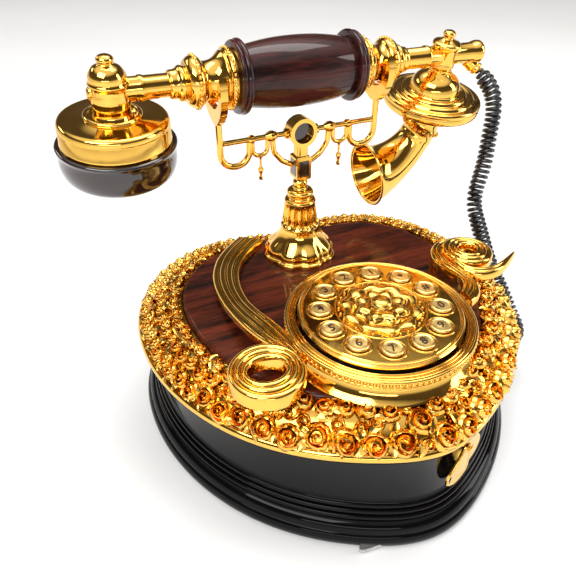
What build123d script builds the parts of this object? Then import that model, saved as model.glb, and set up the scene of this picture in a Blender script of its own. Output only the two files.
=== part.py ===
"""French-style cradle telephone on a heart-shaped plinth.

Millimetres, +Z up. The origin is on the surface that the phone stands on, under the pedestal's axis.
The handset lies along X, the dial and the tip of the heart point to -Y.
"""
from build123d import *
import math
import os

os.makedirs("parts", exist_ok=True)

# ---------------------------------------------------------------- driving dimensions
# heart outlines, right half, from the front tip to the notch behind the pedestal
RIM_HALF = [(0, -140.5), (28, -133), (68, -105.5), (91, -69), (98.5, -30), (90, 10), (68, 35), (36, 45), (0, 34)]
FOOT_HALF = [(0, -147), (31, -138), (70, -108), (92.5, -70), (100, -30), (92, 11), (69, 37), (36, 47), (0, 36)]
PANEL_HALF = [(0, -122), (30, -111), (56, -90), (69, -66), (75, -36), (70, -6), (50, 15.5), (26, 21), (0, 17)]
NOTCH_SLANT = 0.9            # direction of the outline where it meets the notch
NOTCH_DIP = 0.44

# heights above the table
PAD_T = 1.0                  # rubber pads
PLINTH_TOP = 51.5
RIM_TOP = 56.0
PANEL_SEAT = 62.0
PANEL_TOP = 68.5
BASE_PLATE_T = 2.5

# plinth mouldings: (top height, inset from the foot outline)
MOULDINGS = [(6.5, 0.0), (9.5, 1.8), (12.0, 3.4), (15.5, 5.2), (18.0, 6.8), (20.5, 8.2)]
WALL_INSET = 9.5
CAVITY_INSET = 13.0
PLATE_INSET = 6.0

# dial
DIAL_Y = -83.0
DIAL_WALL_R = 38.2
DIAL_PLATE_R = 36.8
PLATE_BOTTOM = 84.3
PLATE_TOP = 86.3
KEY_CIRCLE_R = 27.0
KEY_HOLE_R = 5.5
KEY_R = 4.8
KEY_TRAVEL = 1.5
FIRST_KEY_ANGLE = 68.0
BAND_OUTER_R = 42.8

# pedestal and cradle
FOOT_R = 20.5
STEM_R = 2.4
STEM_CLEARANCE = 0.05
SPRING_CHAMBER = (70.0, 100.0)
SPRING_BOTTOM = 70.0
SPRING_TOP = 92.0
COLUMN_TOP = 103.0
BLOCK_BOTTOM = 114.5
BLOCK_TOP = 127.0
BAR_Z = 139.3
RING_R = 7.25
RING_BORE_R = 5.25
UPRIGHT_X = 42.5
FORK_BASE = 150.0
CRADLE_TRAVEL = 4.0

# handset
HANDSET_AT = (-2.3, 2.0, 167.8)
PITCH = 1.0
LEFT_TILT = 6.5
RIGHT_TILT = 10.0
CAPSULE_X = 85.6
TUBE_R = 5.1
TUBE_END = 109.0
WIRE_BORE_R = 3.2


# ---------------------------------------------------------------- shared helpers
def inset_half(half, inset):
    """Move the points of a half outline inwards by inset, square to the line of their neighbours."""
    moved = [(0, half[0][1] + inset)]
    for before, point, after in zip(half, half[1:], half[2:]):
        along = Vector(after) - Vector(before)
        inward = Vector(-along.Y, along.X).normalized() * inset
        moved.append((point[0] + inward.X, point[1] + inward.Y))
    return moved + [(0, half[-1][1] - inset / NOTCH_SLANT)]


def heart(half, height, inset=0.0):
    """A heart-shaped face at a height, with its outline moved inwards by inset."""
    right = inset_half(half, inset)
    left = [(-x, y) for x, y in reversed(right)]
    with BuildSketch(Plane.XY.offset(height), mode=Mode.PRIVATE) as outline:
        with BuildLine():
            Spline(*right, tangents=[(1, 0), (-NOTCH_SLANT, -NOTCH_DIP)])
            Spline(*left, tangents=[(-NOTCH_SLANT, NOTCH_DIP), (1, 0)])
        make_face()
    return outline.sketch


def heart_slab(half, low, high, inset=0.0, mode=Mode.ADD):
    """Extrude a heart between two heights into the open part."""
    extrude(heart(half, low, inset), amount=high - low, mode=mode)


def turned(plane, points, direction, mode=Mode.ADD):
    """Revolve a closed profile, given as (radius, height) on the plane, about the line through its origin."""
    with BuildSketch(plane, mode=Mode.PRIVATE) as profile:
        with BuildLine():
            Polyline(*points, close=True)
        make_face()
    revolve(profile.sketch, axis=Axis(plane.origin, direction), mode=mode)


def upright(x, y, z=0.0):
    """Plane with u outwards along +X and v along +Z, for shapes turned about a vertical axis."""
    return Plane(origin=(x, y, z), x_dir=(1, 0, 0), z_dir=(0, -1, 0))


def finish(builder, label):
    builder.part.label = label
    export_step(builder.part, f"parts/{label}.step")


def rod(points, radius, radii=None):
    """Sweep a round bar along straight runs joined by arcs."""
    with BuildLine(mode=Mode.PRIVATE) as path:
        FilletPolyline(*points, radius=radii)
    line = path.line
    print("rod", round(sum(edge.length for edge in path.edges()), 1), "mm long")
    with BuildSketch(Plane(origin=line @ 0, z_dir=line % 0), mode=Mode.PRIVATE) as section:
        Circle(radius)
    sweep(section.sketch, path=line)


def heart_wall(half, low, high, inset, inner):
    """A wall between two insets of one outline, between two heights, into the open part."""
    wall = heart(half, low, inset) - heart(half, low, inner)
    extrude(wall, amount=high - low)


# ================================================================ plinth and what stands in it
PAD_PLACES = [(0, 0), (72, -20), (-72, -20), (55, -92), (-55, -92), (0, -128)]
POST_R = 4.5
SCREW_R = 1.5
SCREW_HEAD_R = 3.0
JACK_X = 36.0
JACK_SIZE = 12.0
JACK_Z = 30.0
CORD_EXIT = (81.5, -71.0, 27.5)      # middle of the grommet, on the right side wall
CORD_EXIT_DIR = (0.912, -0.411, 0)
GROMMET_OUT = 5.0
CORD_R = 4.6
LOCK_AT = (13.0, -135.6, 46.0)       # hinge pin of the keyhole cover, beside the tip of the heart
LOCK_OUT = (0.27, -0.963, 0)         # outwards from the wall there
COVER_SWING = 15.0                   # how far the cover hangs to the side at rest

exit_plane = Plane(origin=CORD_EXIT, x_dir=(0, 0, 1), z_dir=CORD_EXIT_DIR)
lock_plane = Plane(origin=LOCK_AT, x_dir=(0.963, 0.27, 0), z_dir=LOCK_OUT)
lower_cavity = PAD_T + BASE_PLATE_T
wall_posts = [inset_half(FOOT_HALF, CAVITY_INSET + 2.5)[k] for k in (2, 4, 6)]
POST_PLACES = wall_posts + [(-x, y) for x, y in wall_posts]

with BuildPart() as plinth:
    heart_wall(FOOT_HALF, PAD_T, lower_cavity, MOULDINGS[0][1], PLATE_INSET)
    floor = lower_cavity
    for top, inset in MOULDINGS + [(PLINTH_TOP, WALL_INSET)]:
        heart_wall(FOOT_HALF, floor, top, inset, CAVITY_INSET)
        floor = top
    with BuildSketch(Plane.XY.offset(lower_cavity)):
        with Locations(*POST_PLACES):
            Circle(POST_R)
        with Locations(*POST_PLACES):
            Circle(SCREW_R, mode=Mode.SUBTRACT)
    extrude(amount=PLINTH_TOP - lower_cavity)
    with BuildSketch(Plane(origin=(JACK_X, 20, JACK_Z), x_dir=(1, 0, 0), z_dir=(0, 1, 0))):
        Rectangle(JACK_SIZE, JACK_SIZE)
    extrude(amount=30, mode=Mode.SUBTRACT)
    with BuildSketch(exit_plane.offset(-12)):
        Circle(6.2)
    extrude(amount=24, mode=Mode.SUBTRACT)
    with BuildSketch(lock_plane.offset(-1.5)):
        with Locations((3.5, -6)):
            Ellipse(8.1, 10.1)
    extrude(amount=6, mode=Mode.SUBTRACT)
finish(plinth, "plinth")

with BuildPart() as base_plate:
    heart_slab(FOOT_HALF, PAD_T, lower_cavity, PLATE_INSET + 0.4)
    with BuildSketch(Plane.XY.offset(PAD_T)):
        with Locations(*POST_PLACES):
            Circle(SCREW_R + 0.2)
    extrude(amount=BASE_PLATE_T, mode=Mode.SUBTRACT)
    with BuildSketch(Plane.XY.offset(PAD_T)):
        with Locations(*POST_PLACES):
            Circle(SCREW_HEAD_R + 0.2)
    extrude(amount=1.3, mode=Mode.SUBTRACT)
finish(base_plate, "base_plate")

with BuildPart() as rubber_feet:
    with BuildSketch():
        with Locations(*PAD_PLACES):
            Circle(7)
    extrude(amount=PAD_T)
finish(rubber_feet, "rubber_feet")

with BuildPart() as base_screws:
    with BuildSketch(Plane.XY.offset(PAD_T + 0.1)):
        with Locations(*POST_PLACES):
            Circle(SCREW_HEAD_R)
    extrude(amount=1.2)
    with BuildSketch(Plane.XY.offset(PAD_T + 1.3)):
        with Locations(*POST_PLACES):
            Circle(SCREW_R)
    extrude(amount=14)
finish(base_screws, "base_screws")

# circuit board on its standoffs, sounder and line socket
BOARD = (76.0, 56.0)
BOARD_AT = (0.0, -62.0)
BOARD_Z = 12.0
BOARD_T = 1.6

with BuildPart() as main_board:
    with BuildSketch(Plane(origin=(BOARD_AT[0], BOARD_AT[1], BOARD_Z))):
        RectangleRounded(*BOARD, 2)
    extrude(amount=BOARD_T)
    with BuildSketch(Plane(origin=(BOARD_AT[0], BOARD_AT[1], BOARD_Z + BOARD_T))):
        Rectangle(16, 16)
        with Locations((22, 10), (-20, -14)):
            Rectangle(10, 6)
    extrude(amount=2.2)
    with BuildSketch(Plane(origin=(BOARD_AT[0], BOARD_AT[1], lower_cavity))):
        with GridLocations(BOARD[0] - 8, BOARD[1] - 8, 2, 2):
            Circle(3)
    extrude(amount=BOARD_Z - lower_cavity)
finish(main_board, "main_board")

with BuildPart() as sounder:
    with BuildSketch(Plane(origin=(-56, -25, lower_cavity))):
        Circle(15)
    extrude(amount=9)
    with BuildSketch(Plane(origin=(-56, -25, lower_cavity + 9))):
        Circle(3)
    extrude(amount=-2, mode=Mode.SUBTRACT)
finish(sounder, "sounder")

with BuildPart() as line_socket:
    with BuildSketch(Plane(origin=(JACK_X, 20, JACK_Z), x_dir=(1, 0, 0), z_dir=(0, 1, 0))):
        Rectangle(JACK_SIZE - 0.3, JACK_SIZE - 0.3)
    extrude(amount=18)
    with BuildSketch(Plane(origin=(JACK_X, 38, JACK_Z), x_dir=(1, 0, 0), z_dir=(0, 1, 0))):
        Rectangle(8, 7)
    extrude(amount=-11, mode=Mode.SUBTRACT)
finish(line_socket, "line_socket")

# lock beside the tip of the heart: plate with the hinge pin and keyhole, and the drop-shaped cover
with BuildPart() as lock_plate:
    with BuildSketch(lock_plane.offset(-1.5)):
        with Locations((3.5, -6)):
            Ellipse(8.0, 10.0)
        with Locations((4.5, -5)):
            Circle(2.0, mode=Mode.SUBTRACT)
        with Locations((4.5, -8)):
            Rectangle(1.8, 5, mode=Mode.SUBTRACT)
    extrude(amount=2.6)
    with BuildSketch(lock_plane.offset(1.1)):
        Circle(0.9)
    extrude(amount=2.0)
    with BuildSketch(lock_plane.offset(3.1)):
        Circle(1.7)
    extrude(amount=0.8)
finish(lock_plate, "lock_plate")

swing = math.radians(COVER_SWING)
cover_x = lock_plane.x_dir * math.cos(swing) - lock_plane.y_dir * math.sin(swing)
cover_plane = Plane(origin=LOCK_AT, x_dir=cover_x, z_dir=LOCK_OUT)
COVER_LENGTH = 14.5
COVER_R = 7.4
with BuildPart() as keyhole_cover:
    with BuildSketch(cover_plane.offset(1.4)):
        Circle(2.8)
        with Locations((0, -COVER_LENGTH)):
            Circle(COVER_R)
        with BuildLine():
            Polyline((-2.75, -0.5), (-COVER_R + 0.7, -COVER_LENGTH + 3), (COVER_R - 0.7, -COVER_LENGTH + 3), (2.75, -0.5),
                     close=True)
        make_face()
        Circle(0.95, mode=Mode.SUBTRACT)
    extrude(amount=1.4)
finish(keyhole_cover, "keyhole_cover")

# ================================================================ gold flange, roses and wooden panel
with BuildPart() as flange_tray:
    heart_slab(RIM_HALF, PLINTH_TOP, RIM_TOP)
    heart_slab(PANEL_HALF, RIM_TOP, PANEL_SEAT, 1.5)
    heart_slab(PANEL_HALF, PLINTH_TOP, PANEL_SEAT, 6.0, Mode.SUBTRACT)
finish(flange_tray, "flange_tray")

ROSE_STEPS = [(60.0, 3.2), (63.5, 8.0), (66.5, 12.5)]
with BuildPart() as rose_garland:
    floor = RIM_TOP
    for top, inset in ROSE_STEPS:
        heart_slab(RIM_HALF, floor, top, inset)
        floor = top
    heart_slab(PANEL_HALF, RIM_TOP, floor, -0.6, Mode.SUBTRACT)
finish(rose_garland, "rose_garland")

PANEL_EDGE = [(66.3, 0.0), (67.6, 0.7), (PANEL_TOP, 1.9)]   # rounded edge: (top height, inset)
DIAL_OPENING_R = 33.0
PEDESTAL_HOLE_R = 6.0
with BuildPart() as wood_panel:
    floor = PANEL_SEAT
    for top, inset in PANEL_EDGE:
        heart_slab(PANEL_HALF, floor, top, inset)
        floor = top
    with BuildSketch(Plane.XY.offset(PANEL_SEAT)):
        with Locations((0, DIAL_Y)):
            Circle(DIAL_OPENING_R)
        Circle(PEDESTAL_HOLE_R)
    extrude(amount=PANEL_TOP - PANEL_SEAT, mode=Mode.SUBTRACT)
finish(wood_panel, "wood_panel")

# ================================================================ reeded ribbons beside the dial
RIBBON_T = 5.0
LEFT_OUTER = [(-30, 22), (-47, 6), (-57, -18), (-58.5, -38), (-57, -60), (-53, -77), (-50, -84)]
LEFT_INNER = [(-41.2, -93), (-41, -80), (-43, -64), (-46, -42), (-43, -19), (-35, -2), (-17, 14)]
SCROLL_AT = (-59.5, -94)
SCROLL_R = 16.0
SCROLL_HOLE = (8.0, 6.5)
BAND_TOP = 83.5
RIBBON_LOW = PANEL_TOP + 0.6
RIGHT_SCROLL_AT = (71, -56)


def ribbon_block(outer, inner, low, high):
    """A flat ribbon between two curves."""
    with BuildSketch(Plane.XY.offset(low), mode=Mode.PRIVATE) as band:
        with BuildLine():
            Spline(*outer)
            Line(outer[-1], inner[0])
            Spline(*inner)
            Line(inner[-1], outer[0])
        make_face()
    extrude(band.sketch, amount=high - low)


with BuildPart() as ribbon_left:
    ribbon_block(LEFT_OUTER, LEFT_INNER, RIBBON_LOW, BAND_TOP)
    with BuildSketch(Plane.XY.offset(BAND_TOP - RIBBON_T - 1)):
        with Locations(SCROLL_AT):
            Circle(SCROLL_R)
    extrude(amount=RIBBON_T + 1)
    # the underside and the top both climb from the back of the panel to the scroll
    with BuildSketch(Plane(origin=(0, 0, 0), x_dir=(0, 1, 0), z_dir=(1, 0, 0))):
        with BuildLine():
            Polyline((30, 60), (30, 69), (-12, 69.3), (-60, 75), (-80, BAND_TOP - RIBBON_T - 1),
                     (-115, BAND_TOP - RIBBON_T - 1), (-115, 60), close=True)
        make_face()
        with BuildLine():
            Polyline((30, 74), (0, 74.5), (-40, 77.5), (-70, 82), (-84, BAND_TOP), (-115, BAND_TOP), (-115, 90),
                     (30, 90), close=True)
        make_face()
    extrude(amount=100, both=True, mode=Mode.SUBTRACT)
    with BuildSketch(Plane.XY.offset(60)):
        with Locations(SCROLL_AT):
            Ellipse(*SCROLL_HOLE)
        with Locations((0, DIAL_Y)):
            Circle(BAND_OUTER_R)
    extrude(amount=30, mode=Mode.SUBTRACT)
finish(ribbon_left, "ribbon_left")

RIGHT_OUTER = [(45, -83), (51.5, -76), (51, -66), (50, -57), (55, -46), (66, -41.5), (76, -43)]
RIGHT_INNER = [(78, -48), (66, -48), (58.5, -52), (56.5, -60), (57.5, -74), (53, -88), (45, -92)]
TAIL_OUTER = [(57, -60), (57.5, -71), (64, -77.5), (73, -79), (81, -76.5), (91, -70.5)]
TAIL_INNER = [(92, -66), (83, -68.5), (74, -71), (66, -70), (61.5, -66), (61, -60)]
with BuildPart() as ribbon_right:
    ribbon_block(RIGHT_OUTER, RIGHT_INNER, BAND_TOP - RIBBON_T, BAND_TOP)
    ribbon_block(TAIL_OUTER, TAIL_INNER, BAND_TOP - RIBBON_T, BAND_TOP)
    with BuildSketch(Plane.XY.offset(BAND_TOP - RIBBON_T)):
        with Locations(RIGHT_SCROLL_AT):
            Circle(13)
            Circle(4.5, mode=Mode.SUBTRACT)
    extrude(amount=RIBBON_T)
    with BuildSketch(Plane.XY.offset(PANEL_TOP)):
        with Locations((53, -80), (54, -52)):
            Circle(3)
    extrude(amount=BAND_TOP - RIBBON_T - PANEL_TOP)
    with BuildSketch(Plane.XY.offset(60)):
        with Locations((0, DIAL_Y)):
            Circle(BAND_OUTER_R)
    extrude(amount=30, mode=Mode.SUBTRACT)
finish(ribbon_right, "ribbon_right")

# ================================================================ dial
dial_axis = upright(0, DIAL_Y)
LEDGE_R = 32.0
LEDGE_Z = (74.0, 76.0)

with BuildPart() as dial_housing:
    outside = [(43, PANEL_TOP), (43, 69.5), (40.6, 71), (39, 73.5), (DIAL_WALL_R, 76.5), (DIAL_WALL_R, 83.4)]
    inside = [(37.3, PLATE_BOTTOM), (35.4, PLATE_BOTTOM), (35.4, LEDGE_Z[1]), (LEDGE_R, LEDGE_Z[1]),
              (LEDGE_R, LEDGE_Z[0]), (35.4, LEDGE_Z[0]), (35.4, 71), (34, PANEL_TOP)]
    turned(dial_axis, outside + inside, (0, 0, 1))
finish(dial_housing, "dial_housing")

with BuildPart() as dial_band:
    band = [(DIAL_WALL_R, 78.5), (42.2, 78.5), (BAND_OUTER_R, 79.1), (BAND_OUTER_R, 80.6), (42.0, 81.2),
            (42.0, 82.8), (41.2, BAND_TOP), (39.2, BAND_TOP), (DIAL_WALL_R, 83.0)]
    turned(dial_axis, band, (0, 0, 1))
finish(dial_band, "dial_band")

key_angles = [FIRST_KEY_ANGLE + 30 * k for k in range(12)]
key_places = [(KEY_CIRCLE_R * math.cos(math.radians(a)), DIAL_Y + KEY_CIRCLE_R * math.sin(math.radians(a)))
              for a in key_angles]

with BuildPart() as dial_plate:
    rim = [(0, PLATE_BOTTOM), (DIAL_PLATE_R, PLATE_BOTTOM), (DIAL_PLATE_R, 85.2), (36.0, 85.8), (34.8, 86.0),
           (34.4, PLATE_TOP), (0, PLATE_TOP)]
    turned(dial_axis, rim, (0, 0, 1))
    with BuildSketch(Plane.XY.offset(PLATE_BOTTOM)):
        with Locations(*key_places):
            Circle(KEY_HOLE_R)
    extrude(amount=4, mode=Mode.SUBTRACT)
finish(dial_plate, "dial_plate")

with BuildPart() as dial_hub:
    rosette = [(0, PLATE_TOP), (18.5, PLATE_TOP), (18.5, 87.0), (17.4, 87.5), (14, 87.6), (12.4, 88.2), (9, 89.4),
               (5, 89.8), (4.4, 91.0), (2.4, 91.8), (0, 92.0)]
    turned(dial_axis, rosette, (0, 0, 1))
finish(dial_hub, "dial_hub")

KEY_NAMES = ["key_1", "key_2", "key_3", "key_4", "key_5", "key_6", "key_7", "key_8", "key_9", "key_0",
             "key_hash", "key_star"]
key_profile = [(0, 81.2), (3.5, 81.2), (3.5, 82.4), (6.2, 82.4), (6.2, 83.8), (KEY_R, 83.8), (KEY_R, 87.0),
               (4.4, 87.45), (3.2, 87.75), (0, 87.9)]
for key_name, place in zip(KEY_NAMES, key_places):
    with BuildPart() as key:
        turned(upright(*place), key_profile, (0, 0, 1))
    finish(key, key_name)

with BuildPart() as keypad_membrane:
    with BuildSketch(Plane.XY.offset(77.6)):
        with Locations((0, DIAL_Y)):
            Circle(31.2)
    extrude(amount=0.8)
    with BuildSketch(Plane.XY.offset(78.4)):
        with Locations(*key_places):
            Circle(3)
    extrude(amount=1.0)
finish(keypad_membrane, "keypad_membrane")

with BuildPart() as keypad_board:
    with BuildSketch(Plane.XY.offset(76)):
        with Locations((0, DIAL_Y)):
            Circle(35)
        with Locations((0, DIAL_Y)):
            with PolarLocations(33.6, 3, start_angle=90):
                Circle(1.3, mode=Mode.SUBTRACT)
    extrude(amount=1.6)
finish(keypad_board, "keypad_board")

with BuildPart() as keypad_screws:
    with BuildSketch(Plane.XY.offset(77.6)):
        with Locations((0, DIAL_Y)):
            with PolarLocations(33.6, 3, start_angle=90):
                Circle(1.7)
    extrude(amount=1.2)
    with BuildSketch(Plane.XY.offset(76)):
        with Locations((0, DIAL_Y)):
            with PolarLocations(33.6, 3, start_angle=90):
                Circle(1.2)
    extrude(amount=1.6)
finish(keypad_screws, "keypad_screws")

# ================================================================ pedestal and hook switch
pedestal_axis = upright(0, 0)
bore = STEM_R + STEM_CLEARANCE

with BuildPart() as pedestal_foot:
    dome = [(FOOT_R, 68.5), (FOOT_R, 70.0), (20.0, 71.0), (19.2, 72.5), (17.6, 75.0), (14.6, 78.0), (12.0, 80.5),
            (10.6, 83.5), (10.2, 86.0)]
    under = [(6.0, 86.0), (6.0, 70.0), (bore, 70.0), (bore, 56.0), (5.5, 56.0), (5.5, 68.5)]
    turned(pedestal_axis, dome + under, (0, 0, 1))
finish(pedestal_foot, "pedestal_foot")

with BuildPart() as pedestal_column:
    shaft = [(10.2, 86.0), (9.6, 89), (8.9, 94), (8.4, 99), (8.2, 101.5), (7.6, 102.6), (6.6, 103.2), (6.0, 104.6),
             (6.9, 105.6), (6.9, 107.2), (6.0, 108.2), (3.6, 108.8), (3.6, 109.6)]
    core = [(bore, 109.6), (bore, 100.0), (6.0, 100.0), (6.0, 86.0)]
    turned(pedestal_axis, shaft + core, (0, 0, 1))
finish(pedestal_column, "pedestal_column")

with BuildPart() as pedestal_nut:
    with BuildSketch(Plane.XY.offset(58.5)):
        RegularPolygon(9, 6)
        Circle(5.55, mode=Mode.SUBTRACT)
    extrude(amount=3.5)
finish(pedestal_nut, "pedestal_nut")

with BuildPart() as cradle_spring:
    with BuildSketch(Plane.XY.offset(SPRING_BOTTOM)):
        Circle(4.6)
        Circle(3.4, mode=Mode.SUBTRACT)
    extrude(amount=SPRING_TOP - SPRING_BOTTOM)
finish(cradle_spring, "cradle_spring")

with BuildPart() as switch_bracket:
    with BuildSketch(Plane.XZ.offset(-6)):
        with BuildLine():
            Polyline((-16, 62), (-16, 60.8), (-12.4, 60.8), (-12.4, 40), (12.4, 40), (12.4, 60.8), (16, 60.8), (16, 62),
                     (11.2, 62), (11.2, 41.2), (-11.2, 41.2), (-11.2, 62), close=True)
        make_face()
    extrude(amount=12)
finish(switch_bracket, "switch_bracket")

with BuildPart() as hook_switch:
    with BuildSketch(Plane.XY.offset(41.2)):
        Rectangle(20, 9)
    extrude(amount=8.8)
    with BuildSketch(Plane.XY.offset(50.0)):
        Circle(1.5)
    extrude(amount=1.6)
finish(hook_switch, "hook_switch")

# ================================================================ cradle
BLOCK = (8.0, 9.0)
with BuildPart() as cradle_stem:
    ball = [(0, 52), (STEM_R, 52), (STEM_R, 92), (4.8, 92), (4.8, 93.6), (STEM_R, 93.6), (STEM_R, 109.9),
            (3.4, 109.9), (3.9, 111.2), (3.9, 112.6), (3.0, 113.8), (2.6, BLOCK_BOTTOM), (0, BLOCK_BOTTOM)]
    turned(pedestal_axis, ball, (0, 0, 1))
finish(cradle_stem, "cradle_stem")

with BuildPart() as cradle_ring:
    with BuildSketch(Plane.XY.offset(BLOCK_BOTTOM)):
        Rectangle(*BLOCK)
    extrude(amount=BLOCK_TOP - BLOCK_BOTTOM)
    chamfer(edges().group_by(Axis.Z)[-1] + edges().group_by(Axis.Z)[0], 0.7)
    with BuildSketch(Plane.XY.offset(BLOCK_TOP)):
        RectangleRounded(6, 6.5, 1.5)
    extrude(amount=BAR_Z - BLOCK_TOP)
    with BuildSketch(Plane.XZ.offset(-4)):
        with Locations((0, BAR_Z)):
            Circle(RING_R)
    extrude(amount=8)
    with BuildSketch(Plane.XZ.offset(-4.6)):
        with Locations((0, BAR_Z)):
            Circle(RING_BORE_R)
    extrude(amount=9.2, mode=Mode.SUBTRACT)
finish(cradle_ring, "cradle_ring")

# one arm of the crossbar, turned along X from the ring to the upright: (distance from the ring's axis, radius)
BAR_PROFILE = [(RING_R, 1.3), (7.6, 2.6), (8.8, 2.6), (9.6, 1.3), (12.6, 1.3), (13.6, 1.9), (15.2, 2.7), (16.8, 2.7),
               (18.4, 1.9), (19.4, 1.3), (24.6, 1.3), (25.6, 2.1), (27.2, 2.1), (28.2, 1.3), (UPRIGHT_X - 1.5, 1.3)]
ARM_R = 1.4
LOOP_R = 1.1
U_R = 1.6
DROP_X = 21.3

with BuildPart() as crossbar:
    for side in (1, -1):
        bar_plane = Plane(origin=(0, 0, BAR_Z), x_dir=(side, 0, 0), z_dir=(0, -side, 0))
        outline = [(BAR_PROFILE[0][0], 0)] + BAR_PROFILE + [(BAR_PROFILE[-1][0], 0)]
        turned(bar_plane, outline, (1, 0, 0))
        arm = [(side * 15.5, 0, BAR_Z - 1), (side * 15.0, 0, 131), (side * 10.5, 0, 125.5), (side * 4.6, 0, 122.2)]
        rod(arm, ARM_R, 6)
        loop = [(side * 18.2, 0, BAR_Z - 1), (side * 18.2, 0, 130.4), (side * 26.0, 0, 130.4), (side * 26.0, 0, BAR_Z - 1)]
        rod(loop, LOOP_R, 3.6)
finish(crossbar, "crossbar")

with BuildPart() as pendants:
    drop = [(0, 129.5), (0.9, 129.5), (0.6, 128.4), (0.6, 124.4), (1.4, 123.6), (1.5, 122.6), (0.9, 121.2), (0.7, 119.4),
            (1.2, 118.4), (1.0, 117.6), (0, 117.3)]
    for side in (1, -1):
        turned(upright(side * 22.1, 0), drop, (0, 0, 1))
finish(pendants, "pendants")

# uprights with a U-shaped foot and a yoke that holds the handset's waist
YOKE_T = 3.4
for fork_name, side in (("fork_left", -1), ("fork_right", 1)):
    with BuildPart() as fork:
        x = side * UPRIGHT_X
        inner_x = side * 27.6
        hook = [(x, 0, FORK_BASE), (x, 0, 126.9), (inner_x, 0, 126.9), (inner_x, 0, BAR_Z - 1)]
        rod(hook, U_R, 7.2)
        with BuildSketch(Plane(origin=(x - YOKE_T / 2, 0, 0), x_dir=(0, 1, 0), z_dir=(1, 0, 0))):
            with BuildLine():
                Spline((-1.8, FORK_BASE - 1), (-6.4, 152.8), (-11.0, 159.8), (-11.8, 167.0), (-10.6, 172.4))
                Spline((-10.6, 172.4), (-8.9, 168.4), (-8.4, 163.6), (-4.8, 158.4), (2.0, 156.6))
                Spline((2.0, 156.6), (8.8, 158.4), (12.4, 163.6), (12.9, 168.4), (14.6, 172.4))
                Spline((14.6, 172.4), (15.8, 167.0), (15.0, 159.8), (9.6, 152.8), (1.8, FORK_BASE - 1))
                Line((1.8, FORK_BASE - 1), (-1.8, FORK_BASE - 1))
            make_face()
        extrude(amount=YOKE_T)
    finish(fork, fork_name)

# ================================================================ handset
def along_handset(station, tilt):
    """Plane at a station on the handset's axis: u along the handset, v up square to it."""
    pitch = math.radians(PITCH)
    lean = math.radians(tilt)
    along = Vector(math.cos(pitch), 0, -math.sin(pitch))
    level_up = Vector(math.sin(pitch), 0, math.cos(pitch))
    up = level_up * math.cos(lean) - Vector(0, 1, 0) * math.sin(lean)
    return Plane(origin=Vector(*HANDSET_AT) + along * station, x_dir=along, z_dir=along.cross(up))


left_plane = along_handset(-CAPSULE_X, LEFT_TILT)
right_plane = along_handset(CAPSULE_X, RIGHT_TILT)
middle_plane = along_handset(0, LEFT_TILT)
print("handset x", middle_plane.x_dir, "up", middle_plane.y_dir, "right up", right_plane.y_dir)
TUBE_BORE = TUBE_R + 0.02

with BuildPart() as grip:
    with BuildSketch(middle_plane) as grip_half:
        with BuildLine():
            Spline((-26.6, 13.3), (-14, 15.2), (0, 15.9), (14, 15.2), (26.6, 13.3))
            Polyline((26.6, 13.3), (26.8, 15.6), (27.6, 16.5), (28.6, 16.5), (29.2, 15.5), (29.8, 15.9), (30.8, 15.9),
                     (31.4, 15.0), (31.6, 12.8), (31.6, TUBE_BORE), (-31.6, TUBE_BORE), (-31.6, 12.8), (-31.4, 15.0),
                     (-30.8, 15.9), (-29.8, 15.9), (-29.2, 15.5), (-28.6, 16.5), (-27.6, 16.5), (-26.8, 15.6),
                     (-26.6, 13.3))
        make_face()
    revolve(axis=Axis(middle_plane.origin, middle_plane.x_dir))
finish(grip, "grip")

FERRULE = [(31.6, 12.6), (33.6, 13.1), (35.2, 12.6), (35.8, 11.9), (36.4, 12.2), (37.2, 11.8), (38.0, 10.8), (39.2, 9.8),
           (42.4, 8.6), (44.4, 8.4), (45.8, 8.9), (46.4, 9.8), (47.4, 10.7), (49.0, 11.1), (50.8, 10.9), (52.2, 10.0),
           (53.2, 8.6), (53.8, 7.2), (54.6, 7.6), (56.0, 7.6), (56.8, 6.8), (58.2, 6.3), (60.2, 6.0), (60.8, TUBE_BORE)]
for ferrule_name, side in (("ferrule_left", -1), ("ferrule_right", 1)):
    with BuildPart() as ferrule:
        outline = [(side * station, radius) for station, radius in FERRULE]
        with BuildSketch(middle_plane):
            with BuildLine():
                Polyline((side * 31.6, TUBE_BORE), *outline, close=True)
            make_face()
        revolve(axis=Axis(middle_plane.origin, middle_plane.x_dir))
    finish(ferrule, ferrule_name)

# cord route, from under the tube's right end to the grommet: points set by hand
grommet_end = Vector(*CORD_EXIT) + Vector(*CORD_EXIT_DIR).normalized() * GROMMET_OUT
CORD_ROUTE = [(105.5, -0.5, 157.0), (113.0, -5.0, 149.5), (115.6, -9.0, 137), (113, -12, 122), (109, -17, 108),
              (98.5, -24, 91), (103, -31, 73), (106.5, -39, 57), (110, -50, 43), (110.5, -60.5, 32),
              (108, -72, 27.5), (97.9, -78.4, 27.5), tuple(grommet_end)]
cord_start = Vector(*CORD_ROUTE[0])
cord_way = (Vector(*CORD_ROUTE[1]) - cord_start).normalized()

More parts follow.
